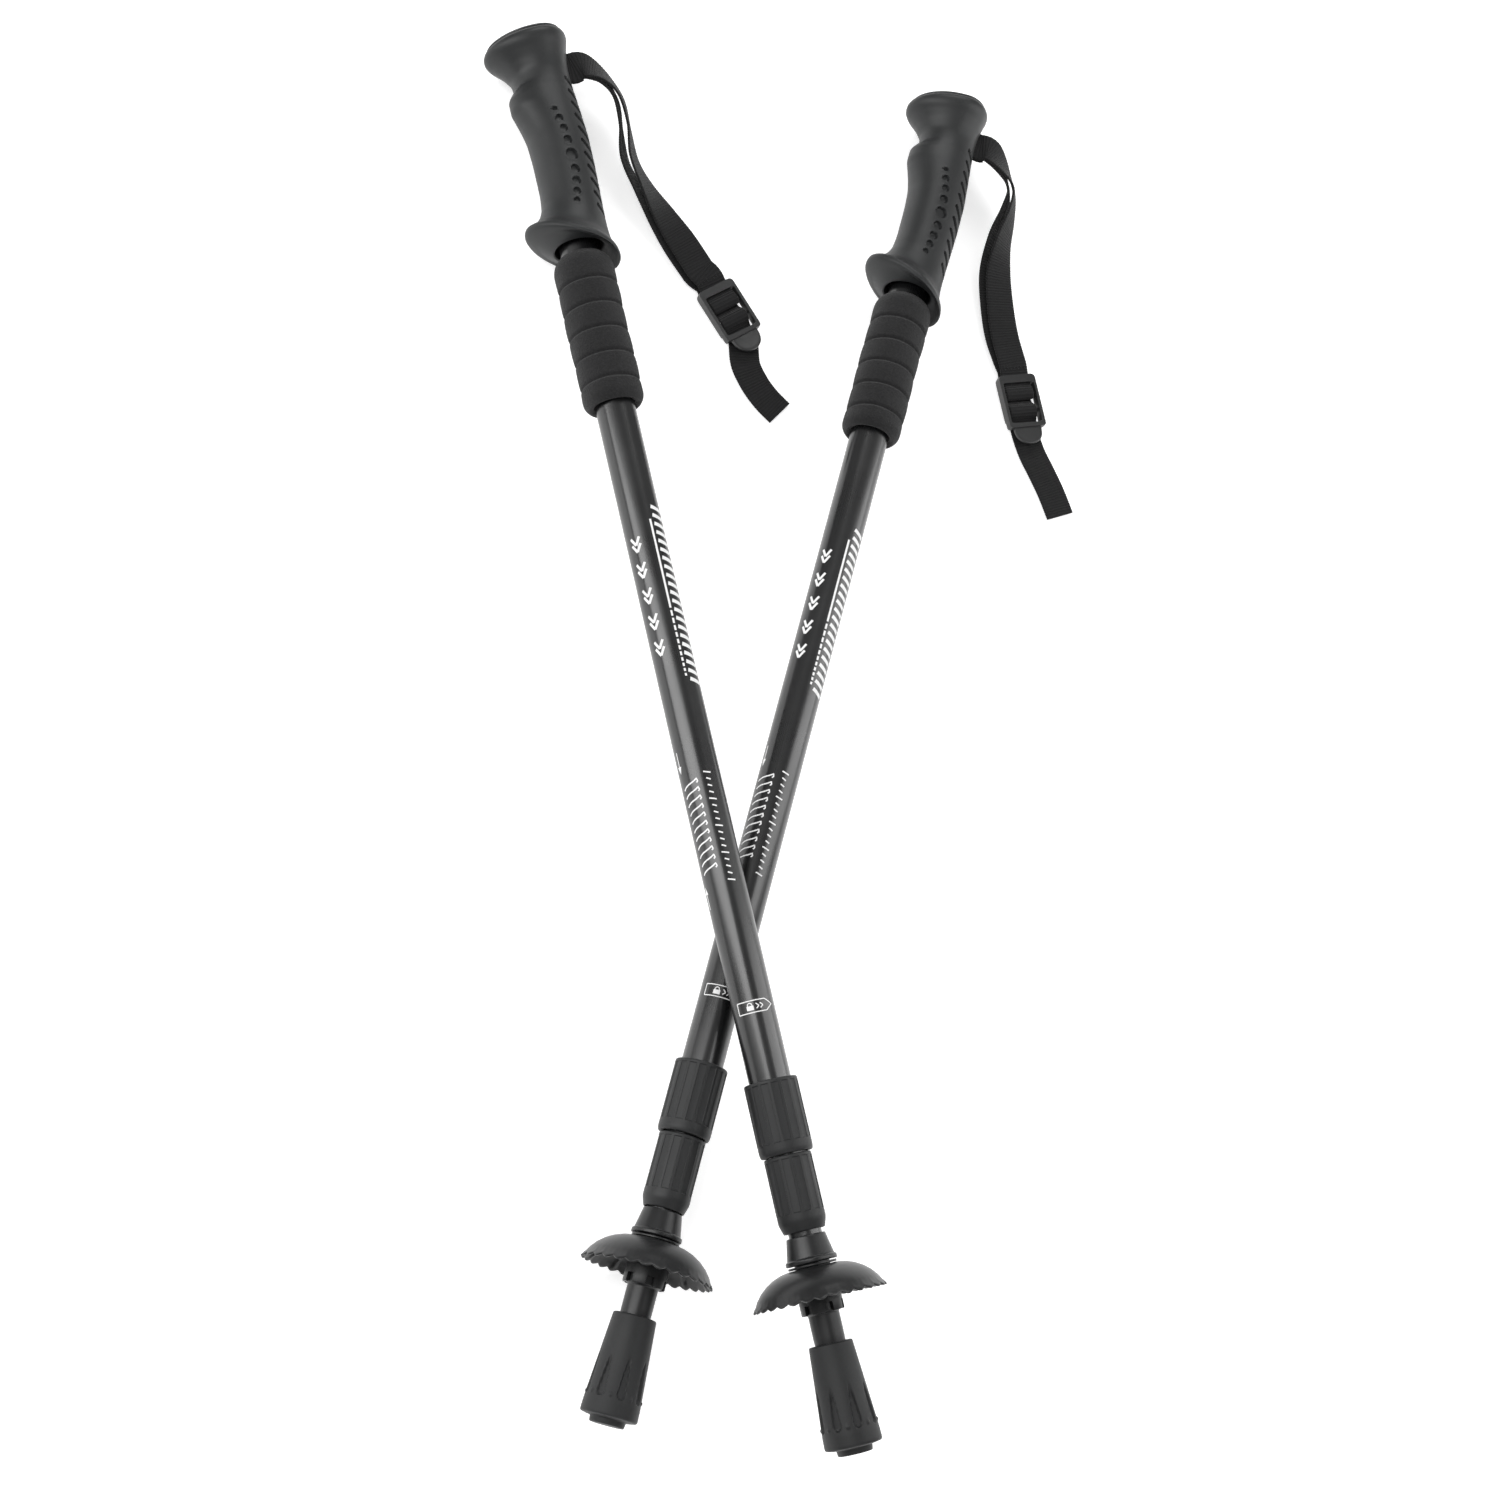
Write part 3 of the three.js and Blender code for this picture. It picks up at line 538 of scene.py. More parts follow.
class Skin:
    """Closed shells gathered from rings of points, with lengths round and along for the grain."""

    def __init__(self) -> None:
        """Starts an empty skin."""
        self.points: list[np.ndarray] = []
        self.faces: list[tuple[int, ...]] = []
        self.grain: list[tuple[float, float]] = []
        self.count = 0

    def add(self, rings: np.ndarray, closed: bool = False) -> Skin:
        """Adds one shell through equal rings.

        Args:
            rings: points by ring and place round it.
            closed: whether the last ring joins the first. If not, a fan closes each end.

        Returns:
            This skin.
        """
        rows, around = rings.shape[:2]
        start = self.count
        girth = np.linalg.norm(np.roll(rings, -1, axis=1) - rings, axis=2).mean(axis=0)
        climb = np.linalg.norm(np.roll(rings, -1, axis=0) - rings, axis=2).mean(axis=1)
        u = np.concatenate([[0], np.cumsum(girth)])
        v = np.concatenate([[0], np.cumsum(climb)])
        for i in range(rows if closed else rows - 1):
            low, high = start + i * around, start + ((i + 1) % rows) * around
            for j in range(around):
                k = (j + 1) % around
                self.faces.append((low + j, low + k, high + k, high + j))
                self.grain += [(u[j], v[i]), (u[j + 1], v[i]), (u[j + 1], v[i + 1]), (u[j], v[i + 1])]
        self.points.append(rings.reshape(-1, 3))
        self.count += rows * around
        if not closed:
            for row, way in ((0, -1), (rows - 1, 1)):
                self._fan(rings[row], start + row * around, way, (u, v[row]))
        return self

    def _fan(self, ring: np.ndarray, start: int, way: int, grain: tuple[np.ndarray, float]) -> None:
        """Closes an end ring with triangles to its middle."""
        around = len(ring)
        self.points.append(ring.mean(axis=0)[None])
        for j in range(around):
            pair = (start + j, start + (j + 1) % around)
            self.faces.append((*pair[::way], self.count))
            lengths = [(grain[0][j], grain[1]), (grain[0][j + 1], grain[1])][::way]
            self.grain += [*lengths, (grain[0][j], grain[1] + way)]
        self.count += 1

    def piece(
        self, name: str, finish: Finish, place: Callable[[np.ndarray], np.ndarray], sharp: float = SHARP
    ) -> Thing:
        """Makes the object, in row-frame metres.

        Args:
            name: the piece's name.
            finish: its finish.
            place: what takes the skin's millimetres to the row frame.
            sharp: the least angle between faces, in degrees, that stays a crisp edge.

        Returns:
            The new object, linked to the scene.
        """
        mesh = bpy.data.meshes.new(name)
        mesh.from_pydata(place(np.concatenate(self.points)).tolist(), [], self.faces)
        layer = mesh.uv_layers.new(name="lengths")
        layer.data.foreach_set("uv", (MM * np.array(self.grain)).astype(np.float32).ravel())
        work = bmesh.new()
        work.from_mesh(mesh)
        bmesh.ops.recalc_face_normals(work, faces=work.faces)
        work.to_mesh(mesh)
        work.free()
        made = bpy.data.objects.new(name, mesh)
        bpy.context.scene.collection.objects.link(made)
        mesh.materials.append(finish.material())
        settle_shading(made, sharp)
        return made


def settle_shading(piece: Thing, sharp: float = SHARP) -> None:
    """Shades a piece smoothly, apart from edges sharper than an angle in degrees."""
    piece.data.shade_smooth()
    piece.data.set_sharp_from_angle(angle=math.radians(sharp))


def combined(base: Thing, tools: Sequence[Thing], operation: str, sharp: float = SHARP) -> Thing:
    """Cuts or joins solids into one clean shell.

    Args:
        base: the solid that stays.
        tools: the solids that cut or join it, which are removed.
        operation: DIFFERENCE or UNION.
        sharp: the angle in degrees for crisp edges afterwards.

    Returns:
        The base.
    """
    for tool in tools:
        step = base.modifiers.new("cut", "BOOLEAN")
        step.operation, step.solver, step.object = operation, "EXACT", tool
    graph = bpy.context.evaluated_depsgraph_get()
    graph.update()
    mesh = bpy.data.meshes.new_from_object(base.evaluated_get(graph))
    base.modifiers.clear()
    old, base.data = base.data, mesh
    bpy.data.meshes.remove(old)
    for tool in tools:
        bpy.data.objects.remove(tool)
    while len(mesh.materials) > 1:
        mesh.materials.pop()
    settle_shading(base, sharp)
    return base


def slab(size: Row, round_: float, middle: Row = (0, 0, 0)) -> np.ndarray:
    """Gives the rings of a block with rounded edges, its length along z.

    Args:
        size: width along x, depth along y and length along z.
        round_: the radius of its edges.
        middle: where its middle is.

    Returns:
        The block's rings.
    """
    width, depth, length = (value / 2 for value in size)
    corners = [(sx * width, sy * depth, round_ * 1.2) for sx, sy in ((1, 1), (-1, 1), (-1, -1), (1, -1))]
    section = softened(corners, closed=True, steps=3)
    inner = round_ * 1.3
    ends = [(-length, inner), (-length, 0, round_), (length, 0, round_), (length, inner)]
    rings = []
    for along, inset in softened(ends, steps=3):
        share = 1 - inset / np.array([width, depth])
        rings.append(np.column_stack([section * share, np.full(len(section), along)]))
    return np.array(rings) + np.asarray(middle, float)


def rod(
    radius: float, start: Row, end: Row, round_: float = 0.3, around: int = 24
) -> np.ndarray:
    """Gives the rings of a round rod with rounded ends between two points."""
    start, end = np.asarray(start, float), np.asarray(end, float)
    length = np.linalg.norm(end - start)
    way = (end - start) / length
    side = np.cross(way, [0, 0, 1] if abs(way[2]) < 0.9 else [1, 0, 0])
    side /= np.linalg.norm(side)
    other = np.cross(way, side)
    flat = radius * 0.4
    outline = [(flat, 0), (radius, 0, round_), (radius, length, round_), (flat, length)]
    outline = softened(outline, steps=3)
    angles = even_turn(around)
    ring = np.cos(angles)[:, None] * side + np.sin(angles)[:, None] * other
    return np.array([start + way * z + ring * r for r, z in outline])


@dataclass
class Builder:
    """What each sub-assembly has: its pole's frame, and how its pieces are handed over."""

    place: PoleFrame

    def hand_over(self, piece: Thing, body: str, slot: Slot, *nodes: str) -> Thing:
        """Puts a piece on its body and hides the nodes it stands for.

        Args:
            piece: the finished piece.
            body: the body's name without its side.
            slot: the record's material slot; not used.
            *nodes: names without their side of the nodes that it replaces.

        Returns:
            The piece.
        """
        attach(piece, self.place.name(body))
        if nodes:
            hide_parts(*(self.place.name(node) for node in nodes))
        LOG.info("%s rides on %s, %d faces", piece.name, self.place.name(body), len(piece.data.polygons))
        return piece

    def make(self, skin: Skin, part: str, finish: Finish, sharp: float = SHARP) -> Thing:
        """Makes a piece of this pole from a skin in pole millimetres."""
        return skin.piece(self.place.name(part), finish, self.place.to_row, sharp)


# ------------------------------------------------------------------ grip
@dataclass
class Grip(Builder):
    """The moulded handle with its head, finger bump, dimples, slits, hand stop and cap."""

    fine: float = 0.42
    coarse: float = 0.9
    sections: Table = (
        # height, front, back, side, rise to the front
        (542.4, 11.2, 11.2, 11.2, 0.0),
        (541.4, 11.5, 11.5, 11.5, 0.0),
        (541.0, 12.2, 12.2, 12.2, 0.03),
        (541.2, 14.6, 14.0, 14.3, 0.14),
        (541.0, 17.8, 15.5, 16.2, 0.28),
        (540.3, 20.8, 16.7, 17.6, 0.38),
        (540.3, 22.4, 17.5, 18.4, 0.41),
        (541.4, 23.4, 18.0, 18.9, 0.42),
        (542.7, 23.2, 17.9, 18.7, 0.42),
        (543.9, 22.0, 17.5, 17.9, 0.42),
        (546.0, 19.6, 16.6, 16.3, 0.42),
        (549.6, 16.8, 15.7, 14.6, 0.40),
        (555.0, 14.5, 15.3, 13.7, 0.32),
        (562.5, 12.8, 15.5, 13.3, 0.17),
        (574.0, 12.0, 16.0, 13.3, 0.03),
        (586.0, 12.0, 16.3, 13.5, 0.0),
        (597.0, 12.5, 16.3, 13.7, 0.0),
        (604.0, 13.9, 15.8, 13.6, 0.0),
        (610.0, 15.8, 15.4, 13.4, 0.0),
        (614.5, 17.1, 15.0, 13.2, 0.0),
        (618.5, 17.1, 14.7, 12.9, 0.0),
        (621.8, 15.4, 14.4, 12.7, 0.0),
        (624.6, 13.5, 14.2, 12.7, 0.0),
        (629.0, 13.9, 14.0, 13.0, 0.0),
        (634.0, 16.7, 13.9, 14.3, -0.02),
        (639.0, 20.4, 14.5, 16.4, -0.08),
        (643.2, 23.5, 15.5, 18.4, -0.13),
        (645.2, 24.3, 16.0, 18.8, -0.14),
        (646.6, 24.2, 15.8, 18.6, -0.14),
        (647.7, 23.2, 14.9, 17.7, -0.14),
        (648.2, 21.6, 13.4, 16.2, -0.14),
    )
    bore: tuple[tuple[float, float], ...] = (
        # radius, height
        (3.0, 621.6),
        (8.2, 621.6),
        (8.2, 602.0),
        (10.6, 602.0),
        (10.6, 549.0),
    )
    dimples: tuple[tuple[float, float, float], ...] = (
        # place along x, height, width
        (0.8, 606.7, 2.7),
        (-0.5, 601.9, 3.7),
        (-1.5, 596.6, 3.9),
        (-2.1, 590.6, 4.3),
        (-2.6, 583.2, 6.0),
        (-2.6, 575.7, 4.5),
        (-1.9, 569.7, 4.3),
        (-1.0, 564.3, 3.9),
        (-0.1, 559.8, 2.9),
    )
    slit_count: int = 11
    slit_top: float = 624.6
    slit_step: float = 6.6
    slit_width: float = 1.6
    slit_depth: float = 1.9
    slot_size: tuple[float, float, float] = (14.0, 4.8, 16.6)
    flange_rows: int = 8
    marked_span: tuple[float, float] = (552.0, 624.0)
    cap_reach: tuple[float, float, float] = (22.4, 14.2, 17.0)
    cap_slope: float = 0.14

    def build(self) -> None:
        """Builds the handle and its cap."""
        handle = self.make(Skin().add(self.handle_rings()), "grip_moulding", GRIP_FINISH, 40)
        slot = self.make(
            Skin().add(slab(self.slot_size, 1.2, (-4.5 - self.slot_size[0] / 2, 0, PoleFrame.HINGE_Z))),
            "slot_tool",
            GRIP_FINISH,
        )
        combined(handle, [slot], "DIFFERENCE", 40)
        self.hand_over(handle, "grip", Slot.GRIP, "grip")
        self.hand_over(self.cap(), "grip", Slot.GRIP, "grip_cap")

    def _angles(self) -> np.ndarray:
        """Gives angles round the handle, closer together over the dimples and slits."""
        back = np.linspace(math.radians(88), math.radians(176), 62)
        front = np.linspace(math.radians(-86), math.radians(86), 50)
        return np.concatenate([front, back, [math.pi], TAU - back[::-1]])

    def handle_rings(self) -> np.ndarray:
        """Gives the rings from inside the bore, out over the hand stop and up to the head."""
        angles = self._angles()
        table = np.array(self.sections)
        way = np.concatenate([[0], np.cumsum(np.hypot(*np.diff(table[:, :2], axis=0).T))])
        spots = [0.0]
        while spots[-1] < way[-1] - 0.2:
            height = np.interp(spots[-1], way, table[:, 0])
            low, high = self.marked_span
            fine = low < height < high and spots[-1] > way[self.flange_rows]
            spots.append(spots[-1] + (self.fine if fine else self.coarse))
        spots[-1] = way[-1]
        rows = np.column_stack([monotone(way, column, np.array(spots)) for column in table.T])
        unit = np.stack([np.cos(angles), np.sin(angles)], axis=1)
        reach = np.where(unit[None, :, 0] > 0, rows[:, 1:2], rows[:, 2:3])
        x = unit[None, :, 0] * reach
        y = unit[None, :, 1] * rows[:, 3:4]
        z = rows[:, 0:1] + rows[:, 4:5] * x
        outer = self._marked(np.stack([x, y, z], axis=2))
        bore = turned(softened([(r, z, 0.3) for r, z in self.bore], steps=2), angles)
        return np.concatenate([bore, outer])

    def _marked(self, rings: np.ndarray) -> np.ndarray:
        """Sinks the dimples and the slits into the handle's rings."""
        tangent_u = np.roll(rings, -1, axis=1) - np.roll(rings, 1, axis=1)
        tangent_v = np.gradient(rings, axis=0)
        normal = np.cross(tangent_u, tangent_v)
        normal /= np.maximum(np.linalg.norm(normal, axis=2, keepdims=True), 1e-9)
        x, y, z = (rings[..., i].copy() for i in range(3))
        height = np.zeros_like(x)
        onside = np.abs(y) > 8
        moved = rings.copy()
        for place, level, width in self.dimples:
            away = np.hypot(x - place, z - level)
            near = onside & (np.abs(away - width / 2) < 0.24)
            share = np.where(near, width / 2 / np.maximum(away, 1e-6), 1.0)
            moved[..., 0] = np.where(near, place + (x - place) * share, moved[..., 0])
            moved[..., 2] = np.where(near, level + (z - level) * share, moved[..., 2])
            inside = onside & (away < width / 2 - 0.2)
            bowl = 0.95 + 0.15 * width - 0.3 * (away / (width / 2)) ** 2
            height = np.where(inside, -bowl, height)
            lip = np.exp(-(((away - width / 2 - 0.35) / 0.28) ** 2)) * 0.1
            height = np.where(onside & ~inside, height + lip, height)
        for index in range(self.slit_count):
            level = self.slit_top - index * self.slit_step
            start = np.array([-9.3 - 1.5 * index / self.slit_count, level])
            back = np.array([-15.6, level - 5.6])
            line = back - start
            share = np.clip(((x - start[0]) * line[0] + (z - start[1]) * line[1]) / (line @ line), 0, 1)
            away = np.hypot(x - start[0] - share * line[0], z - start[1] - share * line[1])
            inside = (away < self.slit_width / 2) & (np.abs(y) > 2.2)
            height = np.where(inside, -self.slit_depth, height)
        return moved + normal * height[..., None]

    def cap(self) -> Thing:
        """Makes the cap over the head, a shallow dome with a soft shoulder."""
        angles = even_turn(96)
        levels = [(647.9, 0.93), (647.9, 1.0), (648.7, 1.015), (649.3, 1.0), (650.1, 0.93)]
        levels += [(650.1 + 1.55 * (1 - t**2), 0.93 * t) for t in (0.86, 0.72, 0.56, 0.4, 0.24, 0.1)]
        front, back, side = self.cap_reach
        rings = []
        for z, scale in levels:
            x = np.cos(angles) * np.where(np.cos(angles) > 0, front, back) * scale
            y = side * scale * np.sin(angles)
            rings.append(np.column_stack([x, y, z - self.cap_slope * x]))
        return self.make(Skin().add(np.array(rings)), "grip_cap_moulding", CAP_FINISH)


def monotone(at: np.ndarray, values: np.ndarray, where: np.ndarray) -> np.ndarray:
    """Draws a smooth line through values that never overshoots them.

    Args:
        at: the values' places, rising.
        values: the values.
        where: the places to read.

    Returns:
        The line's values at those places.
    """
    gaps = np.diff(at)
    slopes = np.diff(values) / gaps
    tangents = np.zeros(len(values))
    tangents[0], tangents[-1] = slopes[0], slopes[-1]
    for i in range(1, len(values) - 1):
        before, after = slopes[i - 1], slopes[i]
        if before * after > 0:
            w1, w2 = 2 * gaps[i] + gaps[i - 1], gaps[i] + 2 * gaps[i - 1]
            tangents[i] = (w1 + w2) / (w1 / before + w2 / after)
    index = np.clip(np.searchsorted(at, where, side="right") - 1, 0, len(gaps) - 1)
    gap = gaps[index]
    t = (where - at[index]) / gap
    return (
        (2 * t**3 - 3 * t**2 + 1) * values[index]
        + (t**3 - 2 * t**2 + t) * gap * tangents[index]
        + (-2 * t**3 + 3 * t**2) * values[index + 1]
        + (t**3 - t**2) * gap * tangents[index + 1]
    )


# ------------------------------------------------------------------ foam
@dataclass
class FoamSleeve(Builder):
    """The soft sleeve below the grip, with moulded rings round it."""

    bottom: float = 461.6
    top: float = 536.9
    radius: float = 14.0
    bore: float = 9.2
    first_groove: float = 521.2
    groove_step: float = 12.2
    grooves: int = 5
    groove_width: float = 1.5
    groove_depth: float = 1.0
    dip: tuple[float, float] = (0.18, 3.4)
    swell: tuple[float, float] = (0.10, 0.07)
    longest_step: float = 0.3

    def build(self) -> None:
        """Builds the sleeve as one closed shell with swollen bands between its grooves."""
        outline = [(self.bore, self.bottom + 1.6, 0.4), (self.radius - 2.6, self.bottom, 1.6)]
        outline += [(self.radius, self.bottom + 3.2, 2.4), (self.radius, self.top - 4.5, 3.6)]
        outline += [(self.radius - 3.6, self.top, 2.2), (self.bore, self.top - 0.6, 0.4)]
        profile = refined(softened(outline, closed=True, steps=7), self.longest_step)
        levels = [self.first_groove - i * self.groove_step for i in range(self.grooves)]
        sink = np.zeros(len(profile))
        for level in levels:
            away = np.abs(profile[:, 1] - level)
            sink += self.groove_depth * np.exp(-((away / (self.groove_width / 2)) ** 2))
            sink += self.dip[0] * np.exp(-((away / self.dip[1]) ** 2))
        outside = profile[:, 0] > self.bore + 2
        profile[:, 0] -= np.where(outside, sink, 0)
        rings = turned(profile, even_turn(112))
        angles, heights = np.arctan2(rings[..., 1], rings[..., 0]), rings[..., 2]
        swell = self.swell[0] * np.sin(3 * angles + heights / 9.0)
        swell += self.swell[1] * np.sin(5 * angles - heights / 5.3)
        rings = pressed(rings, np.where(outside[:, None], swell, 0.0))
        piece = self.make(Skin().add(rings, closed=True), "foam_sleeve", FOAM_FINISH, 60)
        self.hand_over(piece, "pole", Slot.FOAM, "foam_grip")


def refined(profile: np.ndarray, longest: float) -> np.ndarray:
    """Gives a closed profile with points no further apart than a length."""
    points = []
    for here, after in zip(profile, np.roll(profile, -1, axis=0)):
        steps = max(1, math.ceil(np.linalg.norm(after - here) / longest))
        points += [here + (after - here) * i / steps for i in range(steps)]
    return np.array(points)


def evened(line: np.ndarray, count: int) -> np.ndarray:
    """Gives a closed line again with points at equal turns about its middle.

    Args:
        line: the line's points, one a row.
        count: how many points to give.

    Returns:
        The new points.
    """
    centre = (line.min(axis=0) + line.max(axis=0)) / 2
    angles = np.unwrap(np.arctan2(*(line - centre).T[::-1]))
    if angles[-1] < angles[0]:
        line, angles = line[::-1], angles[::-1]
    ring = np.concatenate([line, line[:1]])
    turns = np.concatenate([angles, [angles[0] + TAU]])
    at = np.linspace(turns[0], turns[-1], count + 1)[:-1]
    return np.column_stack([np.interp(at, turns, column) for column in ring.T])


# ------------------------------------------------------------------ tubes and their print
@dataclass
class Tube(Builder):
    """One drawn tube with deburred ends."""

    part: str
    body: str
    outer: float
    inner: float
    bottom: float
    top: float
    rise: float = 0.0

    def build(self) -> None:
        """Builds the tube."""
        ends = (self.bottom + self.rise, self.top + self.rise)
        corners = [(self.inner, ends[0], 0.2), (self.outer, ends[0], 0.3)]
        corners += [(self.outer, ends[1], 0.3), (self.inner, ends[1], 0.2)]
        profile = softened(corners, closed=True, steps=3)
        skin = Skin().add(turned(profile, even_turn(96)), closed=True)
        piece = self.make(skin, f"{self.part}_drawn", TUBE_FINISH)
        self.hand_over(piece, self.body, Slot.ALUMINIUM, self.part)


@dataclass
class Decal:
    """Flat marks wrapped on a tube, each a thin closed film of ink."""

    radius: float
    film: float = 0.045
    sunk: float = 0.03
    skin: Skin = field(default_factory=Skin)

    def stroke(self, line: Sequence[Row], width: float) -> None:
        """Prints one stroke of even width along a line.

        Args:
            line: places as arc length round the tube and height, one a row.
            width: the stroke's width.
        """
        points = np.asarray(line, float)
        steps: list[np.ndarray] = []
        for here, after in zip(points[:-1], points[1:]):
            count = max(1, math.ceil(np.linalg.norm(after - here) / 0.8))
            steps += [here + (after - here) * i / count for i in range(count)]
        path = np.array([*steps, points[-1]])
        way = np.gradient(path, axis=0)
        way /= np.maximum(np.linalg.norm(way, axis=1, keepdims=True), 1e-9)
        side = np.column_stack([-way[:, 1], way[:, 0]]) * width / 2
        self.strip(path + side, path - side)

    def strip(self, left: np.ndarray, right: np.ndarray) -> None:
        """Prints the film between two lines of equal length."""
        middle = (left + right) / 2
        rings = []
        for a, m, b in zip(left, middle, right):
            high, low = self.radius + self.film, self.radius - self.sunk
            rings.append([self._wrap(p, r) for r, ps in ((high, (a, m, b)), (low, (b, m, a))) for p in ps])
        self.skin.add(np.array(rings))

    def polygon(self, corners: Sequence[Row]) -> None:
        """Prints a filled four-sided or three-sided mark, as a film between its two long sides."""
        a, b, c, d = (np.asarray(corner, float) for corner in (*corners, corners[-1])[:4])
        share = np.linspace(0, 1, 5)[:, None]
        self.strip(a + (d - a) * share, b + (c - b) * share)

    def _wrap(self, point: np.ndarray, radius: float) -> list[float]:
        """Takes arc length and height to a point round the tube."""
        angle = point[0] / self.radius
        return [radius * math.cos(angle), radius * math.sin(angle), point[1]]


@dataclass
class TubePrint(Builder):
    """The white marks on the upper tube: a field of bars, chevrons, a spring and a turn sign."""

    radius: float = 9.0
    motif_top: float = 410.0
    motif_arc: float = 16.9
    motif_height: float = 6.2
    bars: int = 21
    bar_step: float = 4.05
    bar_width: float = 1.75
    bar_slant: float = 1.9
    rule_arc: float = 15.2
    rule_length: float = 42.0
    rule_width: float = 0.95
    dashes: int = 11
    chevrons: int = 5
    chevron_top: float = 398.6
    chevron_step: float = 12.1
    chevron_arc: float = 6.3
    chevron_half: float = 2.2
    chevron_width: float = 1.15
    spring: tuple[float, float] = (284.8, 247.0)
    spring_arc: tuple[float, float] = (1.9, 9.3)
    coils: int = 10
    fine_width: float = 0.62
    arrow_half: float = 1.25
    ticks: int = 17
    tick_top: float = 287.0
    tick_step: float = 3.0
    tick_arc: float = 14.5
    sign: tuple[float, float] = (186.4, 181.4)
    sign_arc: tuple[float, float, float] = (4.2, 16.8, 20.2)
    sign_width: float = 0.42
    lock_arc: float = 9.8
    lock_half: float = 1.5

    def build(self) -> None:
        """Builds every mark as one piece of ink."""
        decal = Decal(self.radius)
        self._motif(decal)
        self._chevrons(decal)
        self._spring(decal)
        self._ticks(decal)
        self._sign(decal)
        piece = self.make(decal.skin, "tube_marks", INK_FINISH)
        self.hand_over(piece, "pole", Slot.ALUMINIUM)

    def _motif(self, decal: Decal) -> None:
        """Prints the rule with its fading dashes, and the slanted bars beside it."""
        top = self.motif_top - 6.0
        decal.stroke([(self.rule_arc, top), (self.rule_arc, top - self.rule_length)], self.rule_width)
        level = top - self.rule_length - 1.2
        for index in range(self.dashes):
            length = 2.6 - 0.14 * index
            decal.stroke([(self.rule_arc, level), (self.rule_arc, level - length)], self.rule_width)
            level -= length + self.rule_width
        for index in range(self.bars):
            level = self.motif_top - self.bar_step * index
            end = (self.motif_arc + self.motif_height, level - self.bar_slant)
            decal.stroke([(self.motif_arc, level), end], self.bar_width)

    def _chevrons(self, decal: Decal) -> None:
        """Prints a column of broad chevrons that point to the foot."""
        for index in range(self.chevrons):
            level = self.chevron_top - self.chevron_step * index
            for shift in (0.0, 3.2):
                tip = (self.chevron_arc, level - 5.2 - shift)
                for half in (-self.chevron_half, self.chevron_half):
                    start = (self.chevron_arc + half, level - shift - 1.6)
                    decal.stroke([start, tip], self.chevron_width)

    def _spring(self, decal: Decal) -> None:
        """Prints the spring sign: hooked coils between two arrows that press it."""
        top, bottom = self.spring
        low, high = self.spring_arc
        pitch = (top - bottom) / self.coils
        for index in range(self.coils + 1):
            level = top - index * pitch
            line = []
            for t in np.linspace(0, 1, 12):
                hook = 1.5 * math.sin(math.pi * t) ** 0.8
                line.append((low + (high - low) * t, level - 3.6 * (1 - t) + hook * (0.6 - t)))
            line += [(high + 0.35, level - 1.3), (high - 0.25, level - 1.9)]
            decal.stroke(line, self.fine_width)
        for tail, tip, arc in ((298.5, 288.8, low - 0.1), (228.6, 238.4, low - 1.6)):
            way = 1 if tip > tail else -1
            decal.stroke([(arc, tail), (arc, tip - way * 2.6)], 0.5)
            back, half = tip - way * 3.2, self.arrow_half
            decal.polygon([(arc - half, back), (arc + half, back), (arc + 0.05, tip), (arc - 0.05, tip)])

    def _ticks(self, decal: Decal) -> None:
        """Prints a travel scale of slanted ticks beside the spring."""
        for index in range(self.ticks):
            level = self.tick_top - index * self.tick_step
            half = (3.3 if index % 4 == 0 else 1.9) / 2
            ends = [(self.tick_arc - half, level), (self.tick_arc + half, level - 0.8)]
            decal.stroke(ends, self.fine_width)

    def _sign(self, decal: Decal) -> None:
        """Prints the lock sign: an outline with a pointed end and a closed padlock inside."""
        top, bottom = self.sign
        middle = (top + bottom) / 2
        low, high, tip = self.sign_arc
        border = [(low, bottom), (low, top), (high, top), (tip, middle), (high, bottom), (low, bottom)]
        for here, after in zip(border[:-1], border[1:]):
            decal.stroke([here, after], self.sign_width)
        left, right = self.lock_arc - self.lock_half, self.lock_arc + self.lock_half
        base, shoulder = middle - self.lock_half, middle + 0.35
        decal.polygon([(left, base), (left, shoulder), (right, shoulder), (right, base)])
        turns = np.linspace(math.pi, 0, 9)
        arch = [(self.lock_arc + math.cos(t), shoulder + 1.25 * math.sin(t)) for t in turns]
        decal.stroke(arch, 0.4)
        for shift in (13.2, 15.0):
            decal.stroke([(shift - 0.7, middle + 1.1), (shift + 0.5, middle)], 0.45)
            decal.stroke([(shift + 0.5, middle), (shift - 0.7, middle - 1.1)], 0.45)


@dataclass
class LengthScale(Builder):
    """The printed length scale on a sliding tube: a tick each centimetre, longer each fifth."""

    part: str
    body: str
    radius: float
    bottom: float
    top: float
    rise: float = 0.0

    def build(self) -> None:
        """Builds the ticks as one piece of ink."""
        decal = Decal(self.radius)
        arc = self.radius * math.radians(90)
        count = int((self.top - self.bottom) // 10)
        for index in range(count + 1):
            level = self.bottom + self.rise + 10 * index
            wide = 6.0 if index % 5 == 0 else 3.2
            decal.stroke([(arc - wide / 2, level), (arc + wide / 2, level)], 0.5)
        piece = self.make(decal.skin, f"{self.part}_scale", INK_FINISH)
        self.hand_over(piece, self.body, Slot.ALUMINIUM)


